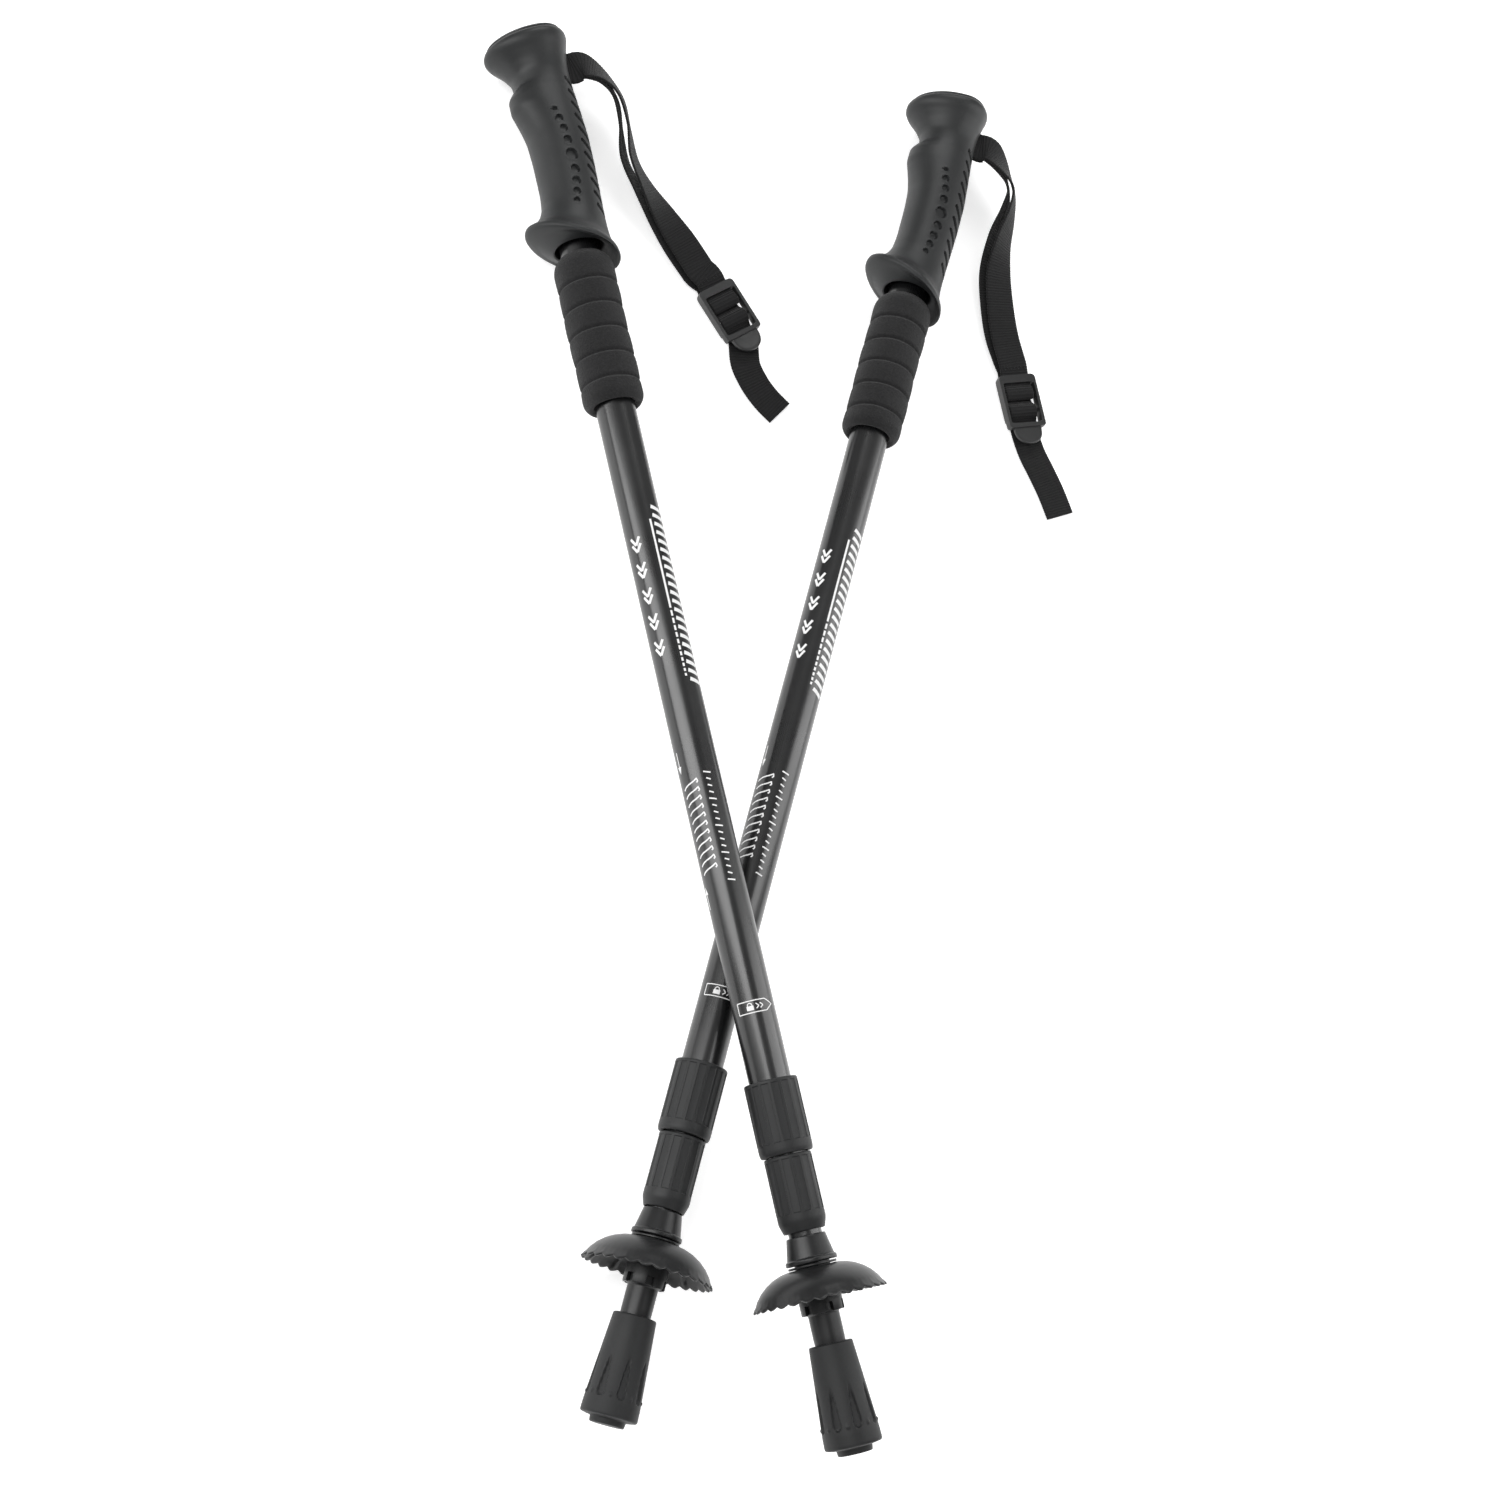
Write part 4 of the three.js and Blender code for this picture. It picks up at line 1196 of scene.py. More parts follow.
# ------------------------------------------------------------------ collars
@dataclass
class Collar(Builder):
    """A moulded collar over a tube's end: long flutes above a plain band."""

    part: str
    body: str
    bottom: float
    top: float
    radius: float
    end_radius: float
    taper: float
    bore: float
    flutes: int
    flute_depth: float = 0.42
    land: float = 1.15

    def build(self) -> None:
        """Builds the collar with its flutes."""
        corners = [
            (self.bore, self.bottom, 0.2),
            (self.end_radius, self.bottom, 0.5),
            (self.radius, self.bottom + self.taper, 1.2),
            (self.radius, self.top, 0.7),
            (self.bore, self.top, 0.2),
        ]
        profile = softened(corners, closed=True, steps=4)
        start, end = self.bottom + self.taper + 3.4, self.top - 1.5
        edge = 0.12
        stations = [start - edge, start + 0.22, start + 1.2, end - 1.2, end - 0.25, end + edge]
        profile = with_heights(profile, self.radius, stations)
        angles, mask = self._flute_stations()
        rings = turned(profile, angles)
        inside = smooth_step((profile[:, 1] - start + edge) / 0.34)
        inside *= smooth_step((end + edge - profile[:, 1]) / 0.37)
        outside = (profile[:, 0] > self.radius - 0.6).astype(float)
        rings = pressed(rings, self.flute_depth * (inside * outside)[:, None] * mask[None])
        piece = self.make(Skin().add(rings, closed=True), f"{self.part}_moulding", COLLAR_FINISH, 30)
        self.hand_over(piece, self.body, Slot.PLASTIC, self.part)

    def _flute_stations(self) -> tuple[np.ndarray, np.ndarray]:
        """Gives angles at each flute's edges and floor, and how deep each lies."""
        pitch = TAU / self.flutes
        half_land = self.land / 2 / self.radius
        wall = 0.16 / self.radius
        angles, mask = [], []
        for index in range(self.flutes):
            start = index * pitch
            floor = np.linspace(start + half_land + wall, start + pitch - half_land - wall, 7)
            angles += [start + half_land * share for share in (-1, -0.3, 0.3, 1)]
            mask += [0.0, 0.0, 0.0, 0.0]
            angles += list(floor)
            share = np.linspace(-1, 1, 7)
            mask += list(0.62 + 0.38 * (1 - share**2))
        return np.array(angles), np.array(mask)


def with_heights(profile: np.ndarray, radius: float, heights: Row) -> np.ndarray:
    """Adds points at given heights to a closed profile's outer upright side."""
    index = next(
        i for i, (here, after) in enumerate(zip(profile, np.roll(profile, -1, axis=0)))
        if abs(here[0] - radius) < 1e-3 and abs(after[0] - radius) < 1e-3 and after[1] - here[1] > 5
    )
    extra = [(radius, height) for height in heights if profile[index, 1] < height < profile[index + 1, 1]]
    return np.insert(profile, index + 1, np.array(extra), axis=0)


# ------------------------------------------------------------------ tip
@dataclass
class Tip(Builder):
    """The tip's cone and nose, its carbide point, the basket with its washer and the rubber foot."""

    rise: float = 0.0
    teeth: int = 30
    basket_ribs: int = 10
    hub_notches: int = 6
    scallop_drop: float = 1.15
    scallop_reach: float = 0.35
    rib_height: float = 1.5
    foot_flutes: int = 8
    flute_bottom: float = 12.2
    flute_top: float = 28.5
    flute_half: float = 1.75
    flute_depth: float = 0.95
    stud_height: float = 11.3
    stud_radius: float = 1.0
    stud_rise: float = 0.42

    def build(self) -> None:
        """Builds the tip's pieces."""
        self._ferrule()
        self._insert()
        self._washer()
        self._basket()
        self._foot()

    def _turn(self, corners: Sequence[Row], around: int = 96, closed: bool = True) -> Skin:
        """Turns an outline at this pole's reach."""
        profile = softened(corners, closed=closed)
        profile[:, 1] += self.rise
        return Skin().add(turned(profile, even_turn(around)), closed=closed)

    def _ferrule(self) -> None:
        """Builds the cone, its lip ring, the shank and the nose as one moulding."""
        corners = [
            (1.4, 20.0),
            (2.6, 20.0, 0.1),
            (2.6, 15.0, 0.2),
            (5.0, 15.0, 0.6),
            (6.5, 46.0, 0.8),
            (6.5, 56.0, 0.3),
            (7.4, 56.8, 0.3),
            (7.4, 76.8, 0.15),
            (10.8, 76.8, 0.45),
            (10.8, 78.6, 0.55),
            (9.95, 79.0, 0.3),
            (8.2, 88.0, 0.55),
            (7.15, 88.0, 0.2),
            (7.15, 78.0, 0.1),
            (3.0, 78.0),
        ]
        piece = self.make(self._turn(corners, closed=False), "ferrule_moulding", SATIN_NYLON, 30)
        self.hand_over(piece, "lower_section", Slot.PLASTIC, "ferrule")

    def _insert(self) -> None:
        """Builds the hard point with its hollow-ground end."""
        corners = [(0.5, 13.6), (1.3, 12.6, 0.15), (1.9, 13.0, 0.2), (2.3, 19.6, 0.2), (1.0, 19.6)]
        piece = self.make(self._turn(corners, 48, closed=False), "point_insert", CARBIDE_FINISH)
        self.hand_over(piece, "lower_section", Slot.CARBIDE, "tip_insert")

    def _washer(self) -> None:
        """Builds the flat washer over the basket."""
        corners = [(7.7, 75.4, 0.1), (10.2, 75.4, 0.25), (10.2, 76.3, 0.25), (7.7, 76.3, 0.1)]
        piece = self.make(self._turn(corners), "washer_disc", SATIN_NYLON)
        self.hand_over(piece, "basket_washer", Slot.PLASTIC, "basket_washer")

    def _basket(self) -> None:
        """Builds the bell with its scalloped rim, inner ribs and notched hub."""
        outer = [(10.0, 75.1), (11.6, 74.95), (14.2, 74.4), (17.4, 73.2)]
        outer += [(20.6, 71.3), (23.4, 68.9), (25.6, 66.3), (27.0, 64.2)]
        rim = [(27.75, 63.5), (27.85, 63.1), (27.5, 62.75), (26.9, 62.7), (26.3, 63.0)]
        inner = [(25.2, 64.6), (23.2, 66.9), (20.4, 69.2), (17.2, 71.1), (14.0, 72.3), (11.0, 72.8)]
        hub = [(9.3, 72.6), (9.0, 71.6), (9.0, 60.6), (9.0, 60.2), (9.0, 57.0)]
        hub += [(8.8, 56.5), (8.0, 56.4), (7.7, 56.8), (7.7, 60.2), (7.7, 60.6)]
        top = [(7.7, 74.6), (8.0, 75.1)]
        profile = np.array(outer + rim + inner + hub + top)
        around = self.teeth * 8
        rings = turned(profile, even_turn(around))
        angles = even_turn(around)[None]
        radius, level = profile[:, 0:1], profile[:, 1:2]
        wave = 0.5 + 0.5 * np.cos(self.teeth * angles)
        at_rim = smooth_step((radius - 25.0) / 2.4)
        rings[..., 2] -= at_rim * (self.scallop_drop * wave**0.7)
        rings = pressed(rings, at_rim * self.scallop_reach * (1 - 2 * wave))
        is_inner = np.zeros(len(profile), bool)
        first = len(outer) + len(rim)
        is_inner[first: first + len(inner)] = True
        ribs = (np.abs(((angles * self.basket_ribs / TAU + 0.5) % 1) - 0.5) < 0.045).astype(float)
        drop = self.rib_height * ribs * smooth_step((26.5 - radius) / 2.0)
        rings[..., 2] -= np.where(is_inner[:, None], drop, 0)
        low = (level < 60.4) & (radius < 9.2)
        notch = (np.abs(((angles * self.hub_notches / TAU) % 1) - 0.5) < 0.19).astype(float)
        lifted = np.where(low, np.maximum(60.3 + 0.02 * (level - 56.4), level), level)
        rings[..., 2] = np.where(low & (notch > 0), lifted, rings[..., 2])
        rings[..., 2] += self.rise
        piece = self.make(Skin().add(rings, closed=True), "basket_bell", SATIN_NYLON, 38)
        self.hand_over(piece, "basket", Slot.PLASTIC, "basket")

    def _foot(self) -> None:
        """Builds the rubber foot with its drop-shaped flutes, small studs and stepped pad."""
        corners = [
            (3.0, 0.0),
            (7.2, 0.0, 0.6),
            (7.5, 2.4, 0.4),
            (9.6, 2.7, 0.4),
            (12.0, 3.2, 0.9),
            (11.85, 8.2, 0.4),
            (9.1, 44.0, 0.7),
            (6.85, 44.0, 0.3),
            (5.7, 15.0, 0.5),
            (3.2, 11.6),
        ]
        profile = softened(corners)
        climbs = np.diff(profile[:, 1])
        cut = int(np.argmax(climbs > 20))
        low, high = profile[cut], profile[cut + 1]
        heights = np.arange(low[1] + 0.5, high[1] - 0.5, 0.55)
        wall = np.column_stack([np.interp(heights, [low[1], high[1]], [low[0], high[0]]), heights])
        profile = np.insert(profile, cut + 1, wall, axis=0)
        angles = even_turn(240)
        rings = turned(profile, angles)
        pitch = TAU / self.foot_flutes
        arc = (((angles + pitch / 2) % pitch) - pitch / 2)[None] * profile[:, 0:1]
        level = profile[:, 1:2]
        share = np.clip((level - 10.5) / 17.5, 0, 1)
        half = self.flute_half * (1 - share) ** 0.8 + 0.25
        end = np.hypot(arc, np.minimum(level - self.flute_bottom, 0))
        depth = self.flute_depth * smooth_step((half + 0.2 - end) / 0.55)
        depth = depth * smooth_step((self.flute_top - level) / 7)
        between = ((angles % pitch) - pitch / 2)[None] * profile[:, 0:1]
        stud = np.hypot(between, level - self.stud_height)
        depth -= self.stud_rise * smooth_step((self.stud_radius - stud) / 0.6)
        outside = np.zeros(len(profile), bool)
        outside[cut: cut + len(wall) + 2] = True
        rings = pressed(rings, np.where(outside[:, None], depth, 0))
        rings[..., 2] += self.rise
        piece = self.make(Skin().add(rings), "foot_boot", RUBBER_FINISH, 34)
        self.hand_over(piece, "foot", Slot.RUBBER, "rubber_foot")


# ------------------------------------------------------------------ wrist strap
@dataclass
class WristStrap(Builder):
    """One length of webbing: sewn on the buckle's first bar, up round the grip's pin and back
    through the buckle to a free tail, with the buckle and its stitching."""

    crossing: np.ndarray = field(default_factory=crossing_point)
    width: float = 15.0
    thickness: float = 1.3
    rib: float = 1.15
    pin_x: float = -7.5
    loop: float = 2.55
    route: dict[Side, Table] = field(
        default_factory=lambda: {
            # x, y and height from the crossing point, bank in degrees, gap between the strands,
            # and how far the lower strand lies aside
            Side.LEFT: (
                (-81.6, 422.2, 19.9, -14, 1.7, 0.0),
                (-71.6, 419.0, 18.6, -44, 1.9, 0.1),
                (-63.1, 411.2, 16.2, -60, 2.6, 0.2),
                (-58.6, 397.8, 13.4, -68, 3.8, 0.2),
                (-54.9, 383.1, 10.6, -56, 4.4, 0.4),
                (-46.6, 370.9, 8.0, -42, 3.4, 0.8),
                (-36.5, 359.3, 5.6, -18, 2.4, 1.5),
                (-26.8, 347.8, 4.6, -2, 2.2, 2.0),
                (-17.3, 335.3, 4.2, 0, 2.6, 1.5),
            ),
            Side.RIGHT: (
                (126.9, 418.6, 20.2, -10, 1.7, 0.0),
                (134.2, 410.6, 18.8, -40, 1.9, 0.1),
                (139.6, 401.0, 16.4, -62, 2.6, 0.2),
                (138.9, 389.3, 13.4, -58, 3.8, 0.3),
                (135.8, 374.8, 10.4, -40, 4.4, 0.8),
                (135.2, 358.8, 7.4, -14, 3.4, 1.6),
                (137.4, 342.1, 5.4, -4, 2.4, 2.0),
                (140.2, 327.8, 4.4, 0, 2.2, 1.9),
                (143.4, 317.0, 4.2, 0, 2.6, 1.2),
            ),
        }
    )
    buckle_spot: dict[Side, tuple[tuple[float, float], ...]] = field(
        default_factory=lambda: {
            # start, and a point it heads for
            Side.LEFT: ((-10.0, 328.4), (5.7, 306.0)),
            Side.RIGHT: ((146.4, 307.7), (152.6, 281.8)),
        }
    )
    tail: dict[Side, tuple[tuple[float, float], ...]] = field(
        default_factory=lambda: {
            Side.LEFT: ((7.8, 293.6), (12.2, 284.4), (18.4, 276.6), (25.9, 270.1)),
            Side.RIGHT: ((156.6, 269.8), (161.6, 260.4), (167.0, 249.8), (171.7, 238.5)),
        }
    )
    # the webbing's way through the buckle, as distances along it and heights over the floor
    sewn_end: tuple[tuple[float, float], ...] = (
        (-4.5, 4.9), (0.5, 4.0), (4.5, 4.0), (6.6, 4.7), (8.2, 5.4), (9.6, 5.65),
        (11.2, 5.2), (12.1, 3.9), (11.4, 2.7), (9.6, 2.3), (6.8, 2.35),
    )
    threaded_end: tuple[tuple[float, float], ...] = (
        (-4.5, 1.7), (1.0, 1.0), (8.0, 0.95), (12.6, 1.0), (14.6, 2.4), (16.4, 4.4),
        (18.2, 5.05), (20.2, 4.4), (21.6, 2.8), (24.1, 1.3), (28.5, 0.95),
    )
    lying: float = 0.95
    stitch_rows: int = 3
    stitches: int = 7
    stitch_gap: tuple[float, float] = (1.5, 1.8)
    thread: float = 0.17

    def build(self) -> None:
        """Builds the webbing, its stitching and the buckle."""
        lines = self._lines()
        middle, across = self._resampled(*lines)
        web = self._webbing(middle, across)
        start = PoleFrame.HINGE_X + 5.5, PoleFrame.HINGE_X - 6.0
        ends = [self.place.point(x, 0, PoleFrame.HINGE_Z) for x in start]
        self.place.name("grip")
        self.place.name("strap")
        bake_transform(web)
        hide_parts(self.place.name("strap"), self.place.name("strap_root"))
        buckle = Buckle(self.place, self.to_row).build()
        length = np.linalg.norm(np.diff(middle, axis=0), axis=1).sum()
        LOG.info("%s is %.0f mm of webbing", web.name, length)
        self._stitching()

    def _spot(self, distance: float, height: float) -> np.ndarray:
        """Gives a point over the buckle's line, in millimetres from the crossing point."""
        start, towards = (np.array(spot) for spot in self.buckle_spot[self.place.side])
        way = (towards - start) / np.linalg.norm(towards - start)
        return np.array([*(start + way * distance), height])

    def to_row(self, points: np.ndarray) -> np.ndarray:
        """Takes the buckle's length, width and height to row-frame metres."""
        start, towards = (np.array(spot) for spot in self.buckle_spot[self.place.side])
        way = (towards - start) / np.linalg.norm(towards - start)
        axes = np.array([[way[0], way[1], 0], [-way[1], way[0], 0], [0, 0, 1]])
        return self.crossing + MM * (np.asarray(points) @ axes + np.array([*start, 0.0]))

    def _from_row(self, points: np.ndarray) -> np.ndarray:
        """Takes row-frame metres to millimetres from the crossing point."""
        return (np.asarray(points) - self.crossing) / MM

    def _lines(self) -> tuple[np.ndarray, np.ndarray]:
        """Gives the webbing's middle line and width direction, from its sewn end to its tail."""
        root = self._from_row(self.place.point(PoleFrame.HINGE_X + 0.3, 0, PoleFrame.HINGE_Z))
        table = np.array([(*root, 0, self.thickness + 0.1, 0), *self.route[self.place.side]])
        smooth = spline(table, 96)
        middle, bank = smooth[:, :3], np.radians(smooth[:, 3])
        apart, aside = smooth[:, 4:5], smooth[:, 5:6]
        across, face = self._banked(middle, bank)
        upper = middle + face * apart / 2 + across * aside * 0.2
        lower = middle - face * apart / 2 - across * aside
        sewn = np.array([self._spot(*spot) for spot in self.sewn_end])
        threaded = np.array(
            [self._spot(*spot) for spot in self.threaded_end]
            + [(x, y, self.lying) for x, y in self.tail[self.place.side]]
        )
        level = np.cross([0, 0, 1], self._spot(1, 0) - self._spot(0, 0))
        turn = self._root_loop()
        axis = self.place.along * np.sign(self.place.along @ across[0])
        points = np.concatenate([sewn[::-1], upper[::-1], turn, lower, threaded])
        sides = np.concatenate(
            [np.tile(level, (len(sewn), 1)), across[::-1], np.tile(axis, (len(turn), 1)), across]
            + [self._banked(threaded, np.zeros(len(threaded)))[0]]
        )
        return points, sides

    def _root_loop(self) -> np.ndarray:
        """Gives the webbing's turn round the pin inside the grip's head."""
        angles = np.radians(np.linspace(90, -90, 9))
        gap = (self.thickness + 0.1) / 2
        spots = [(-14.5, gap), (-11.5, gap + 0.5)]
        spots += [(self.pin_x + self.loop * math.cos(a), self.loop * math.sin(a)) for a in angles]
        spots += [(-11.5, -gap - 0.5), (-14.5, -gap)]
        return self._from_row(self.place.to_row(np.array([(x, y, PoleFrame.HINGE_Z) for x, y in spots])))

    @staticmethod
    def _banked(middle: np.ndarray, bank: np.ndarray) -> tuple[np.ndarray, np.ndarray]:
        """Gives the width and face directions of a line whose width is banked out of level."""
        along = np.gradient(middle, axis=0)
        along /= np.linalg.norm(along, axis=1, keepdims=True)
        level = np.cross(np.array([0, 0, 1.0]), along)
        level /= np.linalg.norm(level, axis=1, keepdims=True)
        upright = np.cross(along, level)
        across = level * np.cos(bank)[:, None] + upright * np.sin(bank)[:, None]
        return across, np.cross(along, across)

    def _resampled(self, points: np.ndarray, sides: np.ndarray) -> tuple[np.ndarray, np.ndarray]:
        """Draws the line again with points a quarter of a rib apart."""
        way = np.concatenate([[0], np.cumsum(np.linalg.norm(np.diff(points, axis=0), axis=1))])
        keep = np.concatenate([[True], np.diff(way) > 0.35])
        way, points, sides = way[keep], points[keep], sides[keep]
        at = np.arange(0, way[-1], self.rib / 4)
        middle = np.column_stack([monotone(way, column, at) for column in points.T])
        for _ in range(6):
            middle[1:-1] = 0.25 * middle[:-2] + 0.5 * middle[1:-1] + 0.25 * middle[2:]
        across = np.column_stack([monotone(way, column, at) for column in sides.T])
        for _ in range(10):
            across[1:-1] = 0.25 * across[:-2] + 0.5 * across[1:-1] + 0.25 * across[2:]
        along = np.gradient(middle, axis=0)
        along /= np.linalg.norm(along, axis=1, keepdims=True)
        across -= along * (across * along).sum(axis=1, keepdims=True)
        across /= np.linalg.norm(across, axis=1, keepdims=True)
        return middle, across

    def _webbing(self, middle: np.ndarray, across: np.ndarray) -> Thing:
        """Sweeps the webbing's ribbed section along its line."""
        along = np.gradient(middle, axis=0)
        along /= np.linalg.norm(along, axis=1, keepdims=True)
        face = np.cross(along, across)
        half, thick = self.width / 2, self.thickness / 2
        edge, flat = thick * 0.8, half - 1.4
        corners = [(half, edge, 0.4), (flat, thick, 0.5), (-flat, thick, 0.5), (-half, edge, 0.4)]
        corners += [(-half, -edge, 0.4), (-flat, -thick, 0.5), (flat, -thick, 0.5), (half, -edge, 0.4)]
        section = refined(softened(corners, closed=True, steps=1), 1.9)
        phase = np.arange(len(middle)) * TAU / 4
        ribbed = 1 + 0.085 * np.cos(phase)
        scalloped = 1 + 0.007 * np.cos(phase)
        rings = (
            middle[:, None]
            + across[:, None] * (section[None, :, 0:1] * scalloped[:, None, None])
            + face[:, None] * (section[None, :, 1:2] * ribbed[:, None, None])
        )
        name = self.place.name("wrist_webbing")
        return Skin().add(rings).piece(name, WEBBING_FINISH, lambda points: self.crossing + MM * points, 70)

    def _stitching(self) -> None:
        """Builds the bar of thread that sews the webbing's end above the buckle."""
        skin = Skin()
        row_gap, stitch_gap = self.stitch_gap
        for row in range(self.stitch_rows):
            for index in range(self.stitches):
                y = stitch_gap * (index - (self.stitches - 1) / 2)
                x = -3.4 - row_gap * row + 0.25 * (-1) ** index
                z = 5.62 - 0.16 * row
                skin.add(rod(self.thread, (x - 0.45, y, z), (x + 0.45, y + 0.5, z), 0.1, 8))
        piece = skin.piece(self.place.name("strap_stitching"), THREAD_FINISH, self.to_row)
        self.hand_over(piece, "strap", Slot.WEBBING)


def spline(table: np.ndarray, count: int) -> np.ndarray:
    """Draws a smooth line through rows of numbers.

    Args:
        table: one control row each.
        count: how many pieces the line has.

    Returns:
        count + 1 rows along the line.
    """
    rows = np.concatenate([[2 * table[0] - table[1]], table, [2 * table[-1] - table[-2]]])
    drawn = []
    for place in np.linspace(0, len(table) - 1, count + 1):
        i = min(int(place), len(table) - 2)
        t = place - i
        a, b, c, d = rows[i: i + 4]
        square = (2 * a - 5 * b + 4 * c - d) * t**2
        cube = (3 * b - a - 3 * c + d) * t**3
        drawn.append(0.5 * (2 * b + (c - a) * t + square + cube))
    return np.array(drawn)


@dataclass
class Buckle(Builder):
    """The ladder buckle: two rails, four bars and a round tab to lift it by."""

    to_row: Callable[[np.ndarray], np.ndarray]
    length: float = 27.7
    inside: float = 16.4
    rail: float = 1.9
    plate: float = 4.5
    bar: float = 1.3
    inner_bar: float = 0.9
    tab: float = 8.7
    depth: float = 4.6
    middle: float = 4.0
    bar_height: float = 4.6
    inner_bars: tuple[tuple[float, float], ...] = ((9.6, 4.0), (18.2, 3.4))

    def build(self) -> Thing:
        """Builds the buckle as one moulding."""
        aside = (self.inside + self.rail) / 2
        wide = self.inside + 2 * self.rail
        parts = [self._outline_frame(wide)]
        for x, z in self.inner_bars:
            parts.append(rod(self.inner_bar, (x, -aside, z), (x, aside, z)))
        parts.append(self._tab())
        pieces = []
        for index, rings in enumerate(parts):
            skin = Skin().add(rings, closed=index == 0)
            name = self.place.name(f"buckle_part_{index}")
            pieces.append(skin.piece(name, BUCKLE_FINISH, self.to_row))
        pieces[0].name = self.place.name("ladder_buckle")
        whole = combined(pieces[0], pieces[1:], "UNION")
        return self.hand_over(whole, "strap", Slot.PLASTIC, "buckle")

    def _outline_frame(self, wide: float) -> np.ndarray:
        """Gives the closed rings of the frame: a rounded ring, broad at its first bar.

        Args:
            wide: the frame's whole width.

        Returns:
            Sections round the frame, each a rounded block's outline.
        """
        half, length = wide / 2, self.length
        outer = [(0, -half, 2.6), (length, -half, 1.6), (length, half, 1.6), (0, half, 2.6)]
        first = self.plate
        last, side = length - 2 * self.bar, half - self.rail
        inner = [(first, -side, 0.9), (last, -side, 0.9), (last, side, 0.9), (first, side, 0.9)]
        outer_line = evened(softened(outer, closed=True, steps=6), 160)
        inner_line = evened(softened(inner, closed=True, steps=6), 160)
        top, low = self.middle + self.depth / 2, self.middle - self.depth / 2
        on_bar = smooth_step((first + 0.4 - inner_line[:, 0]) / 1.2)
        on_bar += smooth_step((inner_line[:, 0] - last + 0.4) / 1.2)
        floor = low + np.clip(on_bar, 0, 1) * (self.depth - 1.6)
        edge = 0.45
        round_block = [(0, 0.5), (0, 1), (edge, 1), (1 - edge, 1), (1, 1)]
        round_block += [(1, 0.5), (1, 0), (1 - edge, 0), (edge, 0), (0, 0)]
        rings = []
        for out_share, rise in round_block:
            line = inner_line + (outer_line - inner_line) * out_share
            corner = abs(out_share - 0.5) == 0.5 and rise != 0.5
            inset = 0.28 if corner else 0.0
            way = 1 if out_share < 0.5 else -1
            away = outer_line - inner_line
            away /= np.linalg.norm(away, axis=1, keepdims=True)
            height = floor + (top - floor) * rise
            rings.append(np.column_stack([line + away * inset * way, height]))
        return np.array(rings)

    def _tab(self) -> np.ndarray:
        """Gives the rings of the round tab, a plate with rounded edges that lifts to its end."""
        half, start = 7.4, self.length + 0.6
        outline = []
        for t in np.linspace(0, 1, 15):
            angle = math.radians(-90 + 180 * t)
            reach = (self.tab - 0.6) * math.cos(angle) ** 0.85
            outline.append((start + reach, half * math.sin(angle)))
        outline += [(self.length - 1.8, half), (self.length - 1.8, -half)]
        line = np.array(outline)
        centre = np.array([self.length + 1.5, 0])
        rounding = [(-1.0, 1.6), (-1.0, 0.5), (-0.8, 0.14), (-0.45, 0)]
        rounding += [(-z, inset) for z, inset in reversed(rounding)]
        rings = []
        for z, inset in rounding:
            away = line - centre
            reach = np.maximum(np.linalg.norm(away, axis=1, keepdims=True), 1)
            shrunk = centre + away * (1 - inset / reach)
            lift = 0.05 * np.maximum(shrunk[:, 0] - self.length, 0) ** 1.5
            rings.append(np.column_stack([shrunk, z + self.bar_height + lift * 0.6]))
        return np.array(rings)


# ------------------------------------------------------------------ inner parts
@dataclass
class InnerParts(Builder):
    """The nodes that keep their shape: springs, locks, pins and plugs inside the tubes."""

    dressed: dict[str, Finish] = field(
        default_factory=lambda: {
            "strap_pin": STEEL_FINISH,
            "grip_liner": INNER_NYLON,
            "shock_spring": STEEL_FINISH,
            "tube_top_plug": INNER_NYLON,
            "stroke_pin": STEEL_FINISH,
            "middle_expander": INNER_NYLON,
            "middle_wedge": INNER_NYLON,
            "middle_stud": STEEL_FINISH,
            "middle_plug": INNER_NYLON,
            "lower_expander": INNER_NYLON,
            "lower_wedge": INNER_NYLON,
            "lower_stud": STEEL_FINISH,
            "lower_plug": INNER_NYLON,
        }
    )

    def build(self) -> None:
        """Gives each kept node its finish."""
        for part, finish in self.dressed.items():
            node = frame["nodes"][self.place.name(part)]
            node.data.materials.clear()
            node.data.materials.append(finish.material())
            for polygon in node.data.polygons:
                polygon.material_index = 0
            LOG.info("%s keeps its shape, dressed in %s", node.name, finish.name)


# ------------------------------------------------------------------ one pole
@dataclass
class Pole:
    """One trekking pole with everything on it."""

    side: Side
    lowest_rise: float

    def build(self) -> None:
        """Builds the pole's sub-assemblies in order, from the grip to the foot."""
        place = PoleFrame.of(self.side)
        rise = self.lowest_rise
        Grip(place).build()
        FoamSleeve(place).build()
        upper, middle, lower = "pole", "middle_section", "lower_section"
        Tube(place, "upper_tube", upper, outer=9.0, inner=8.25, bottom=124.5, top=596.0).build()
        TubePrint(place).build()
        Collar(
            place, "upper_collar", upper, bottom=121.8, top=152.8, radius=11.4,
            end_radius=10.9, taper=1.6, bore=9.1, flutes=16,
        ).build()
        Tube(place, "middle_tube", middle, outer=8.0, inner=7.25, bottom=92.0, top=530.0).build()
        LengthScale(place, "middle_tube", middle, radius=8.0, bottom=165.0, top=505.0).build()
        Collar(
            place, "lower_collar", middle, bottom=89.9, top=121.3, radius=10.05,
            end_radius=8.7, taper=4.2, bore=8.1, flutes=14,
        ).build()
        Tube(place, "lower_tube", lower, outer=7.0, inner=6.25, bottom=78.3, top=480.0, rise=rise).build()
        LengthScale(place, "lower_tube", lower, radius=7.0, bottom=130.0, top=455.0, rise=rise).build()
        Tip(place, rise).build()
        WristStrap(place).build()
        InnerParts(place).build()
        LOG.info("the %s pole is built", self.side.value)


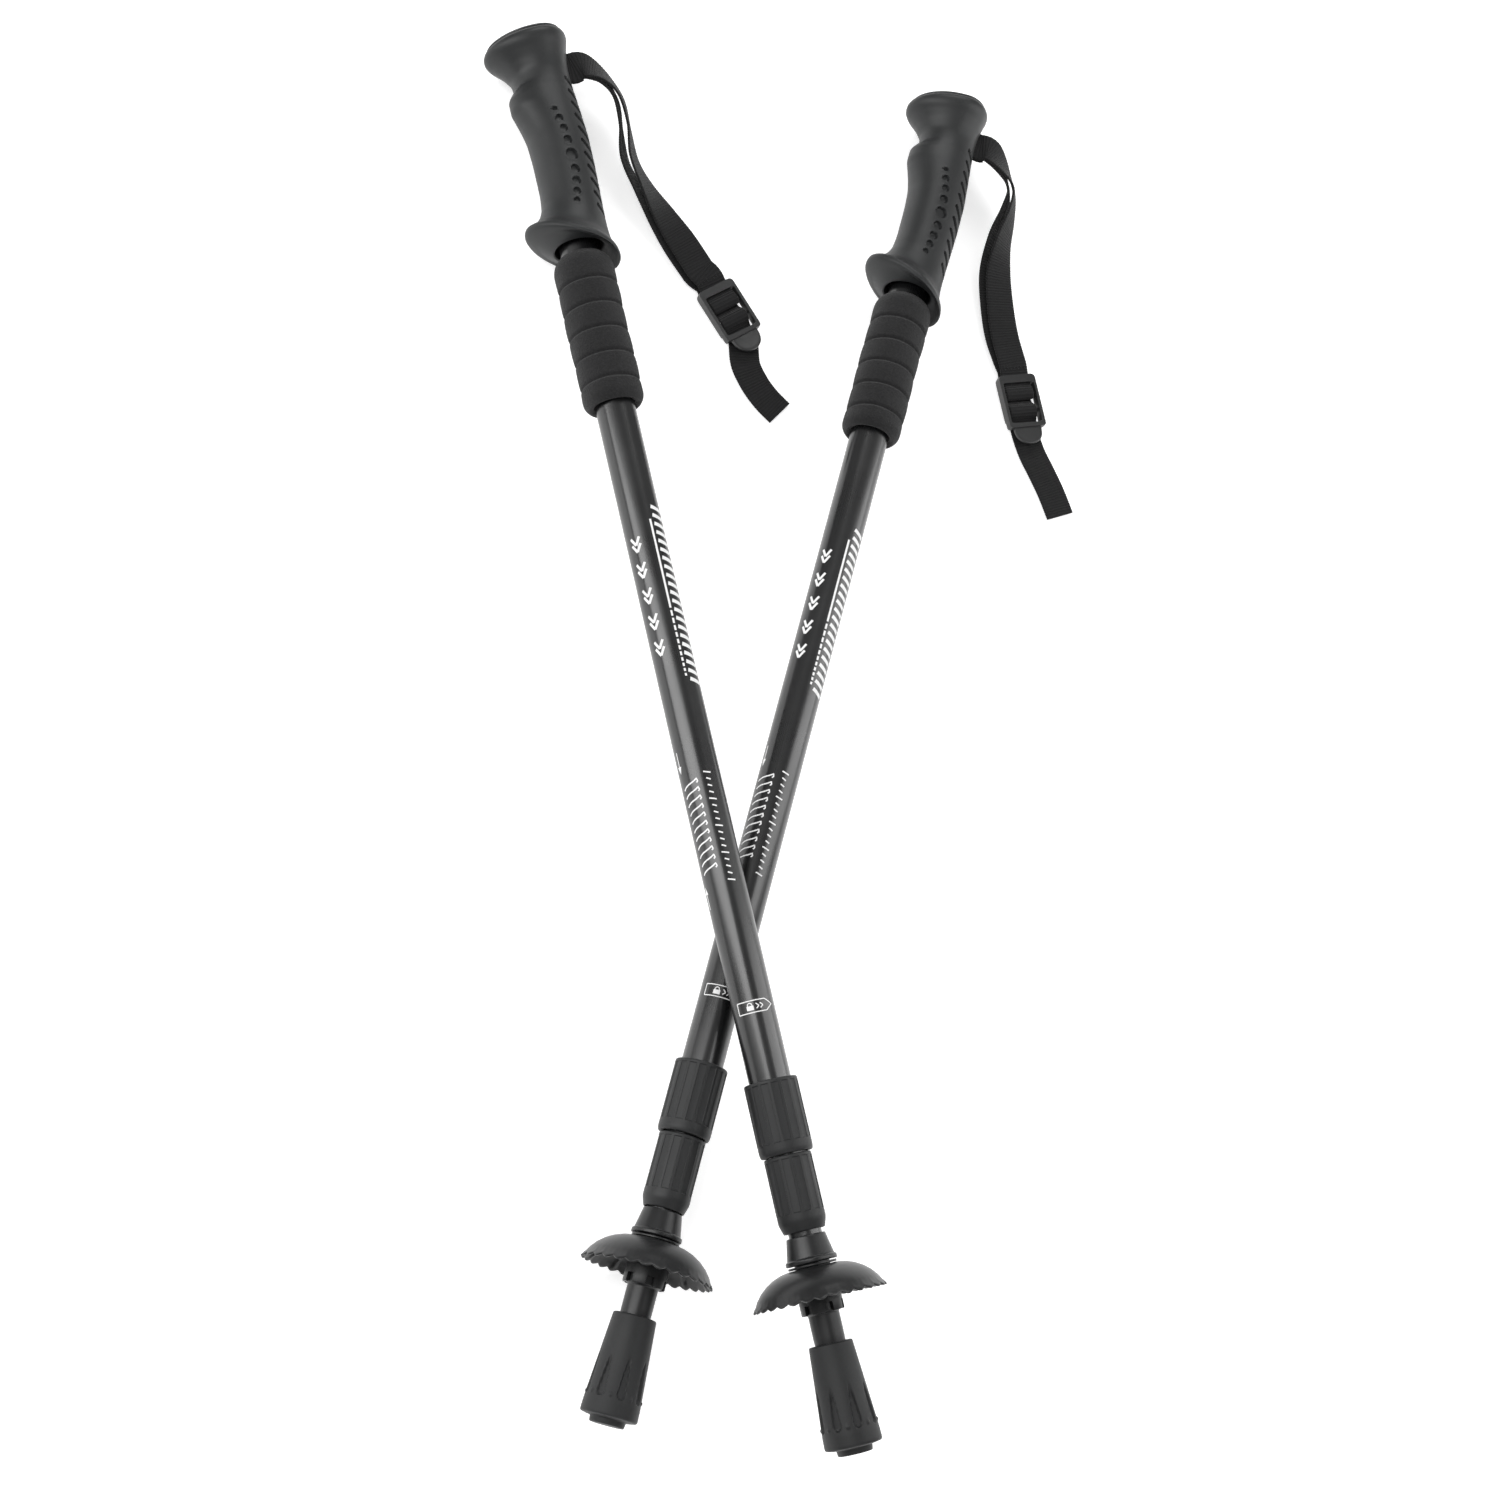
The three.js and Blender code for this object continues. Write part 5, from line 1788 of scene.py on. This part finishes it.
# ------------------------------------------------------------------ studio
@dataclass
class Studio:
    """The floor, the soft lights and the camera, whose eye is measured from the crossing point."""

    eye: tuple[float, float, float] = (-285.85, -162.03, 949.22)
    right: tuple[float, float, float] = (0.950956, 0.023751, 0.308414)
    up: tuple[float, float, float] = (-0.101341, 0.965943, 0.238086)
    lens: float = 54.288
    sensor: float = 36.0

    def build(self) -> None:
        """Sets the floor, the lights and the camera."""
        self._floor()
        self._lights()
        self._camera()
        bpy.context.scene.view_settings.view_transform = "Standard"
        LOG.info("the studio is lit")

    def _floor(self) -> None:
        """Lays a wide pale sheet just under the poles."""
        mesh = bpy.data.meshes.new("floor")
        reach = 4.0
        corners = [(-reach, -reach, 0), (reach, -reach, 0), (reach, reach, 0), (-reach, reach, 0)]
        mesh.from_pydata(corners, [], [(0, 1, 2, 3)])
        floor = bpy.data.objects.new("floor", mesh)
        floor.location.z = -0.0002
        mesh.materials.append(FLOOR_FINISH.material())
        bpy.context.scene.collection.objects.link(floor)

    def _lights(self) -> None:
        """Hangs long soft boxes at both sides and a broad one above."""
        world = bpy.data.worlds.new("room")
        world.use_nodes = True
        world.node_tree.nodes["Background"].inputs["Color"].default_value = (1, 1, 1, 1)
        world.node_tree.nodes["Background"].inputs["Strength"].default_value = 0.34
        bpy.context.scene.world = world
        centre = (Vector(CAD_BOX[0]) + Vector(CAD_BOX[1])) / 2
        boxes = (
            ("soft_box_left", (-1.05, 0.1, 0.95), (0.5, 1.7), 15.0),
            ("soft_box_right", (1.0, 0.2, 0.8), (0.4, 1.7), 8.0),
            ("soft_box_head", (0.1, 1.5, 1.2), (1.2, 0.6), 11.0),
            ("soft_box_foot", (0.2, -1.4, 0.9), (1.2, 0.5), 5.0),
        )
        for name, spot, size, power in boxes:
            light = bpy.data.lights.new(name, "AREA")
            light.shape, light.size, light.size_y, light.energy = "RECTANGLE", size[0], size[1], power
            lamp = bpy.data.objects.new(name, light)
            lamp.location = spot
            lamp.rotation_mode = "QUATERNION"
            lamp.rotation_quaternion = (centre - Vector(spot)).to_track_quat("-Z", "Y")
            bpy.context.scene.collection.objects.link(lamp)

    def _camera(self) -> None:
        """Puts the camera high over the feet, turned a little to one side."""
        right = Vector(self.right).normalized()
        up = (Vector(self.up) - right * right.dot(Vector(self.up))).normalized()
        back = right.cross(up)
        eye = crossing_point() + MM * np.array(self.eye)
        data = bpy.data.cameras.new("camera")
        data.lens, data.sensor_width = self.lens, self.sensor
        camera = bpy.data.objects.new("camera", data)
        camera.matrix_world = Matrix(
            [(right.x, up.x, back.x, eye[0]), (right.y, up.y, back.y, eye[1])]
            + [(right.z, up.z, back.z, eye[2]), (0, 0, 0, 1)]
        )
        bpy.context.scene.collection.objects.link(camera)
        bpy.context.scene.camera = camera


def main() -> None:
    """Builds the studio and both poles."""
    logging.basicConfig(level=logging.INFO, format="%(message)s")
    Studio().build()
    for side, rise in ((Side.LEFT, 0.0), (Side.RIGHT, 1.5)):
        Pole(side, rise).build()


if __name__ == "__main__":
    main()
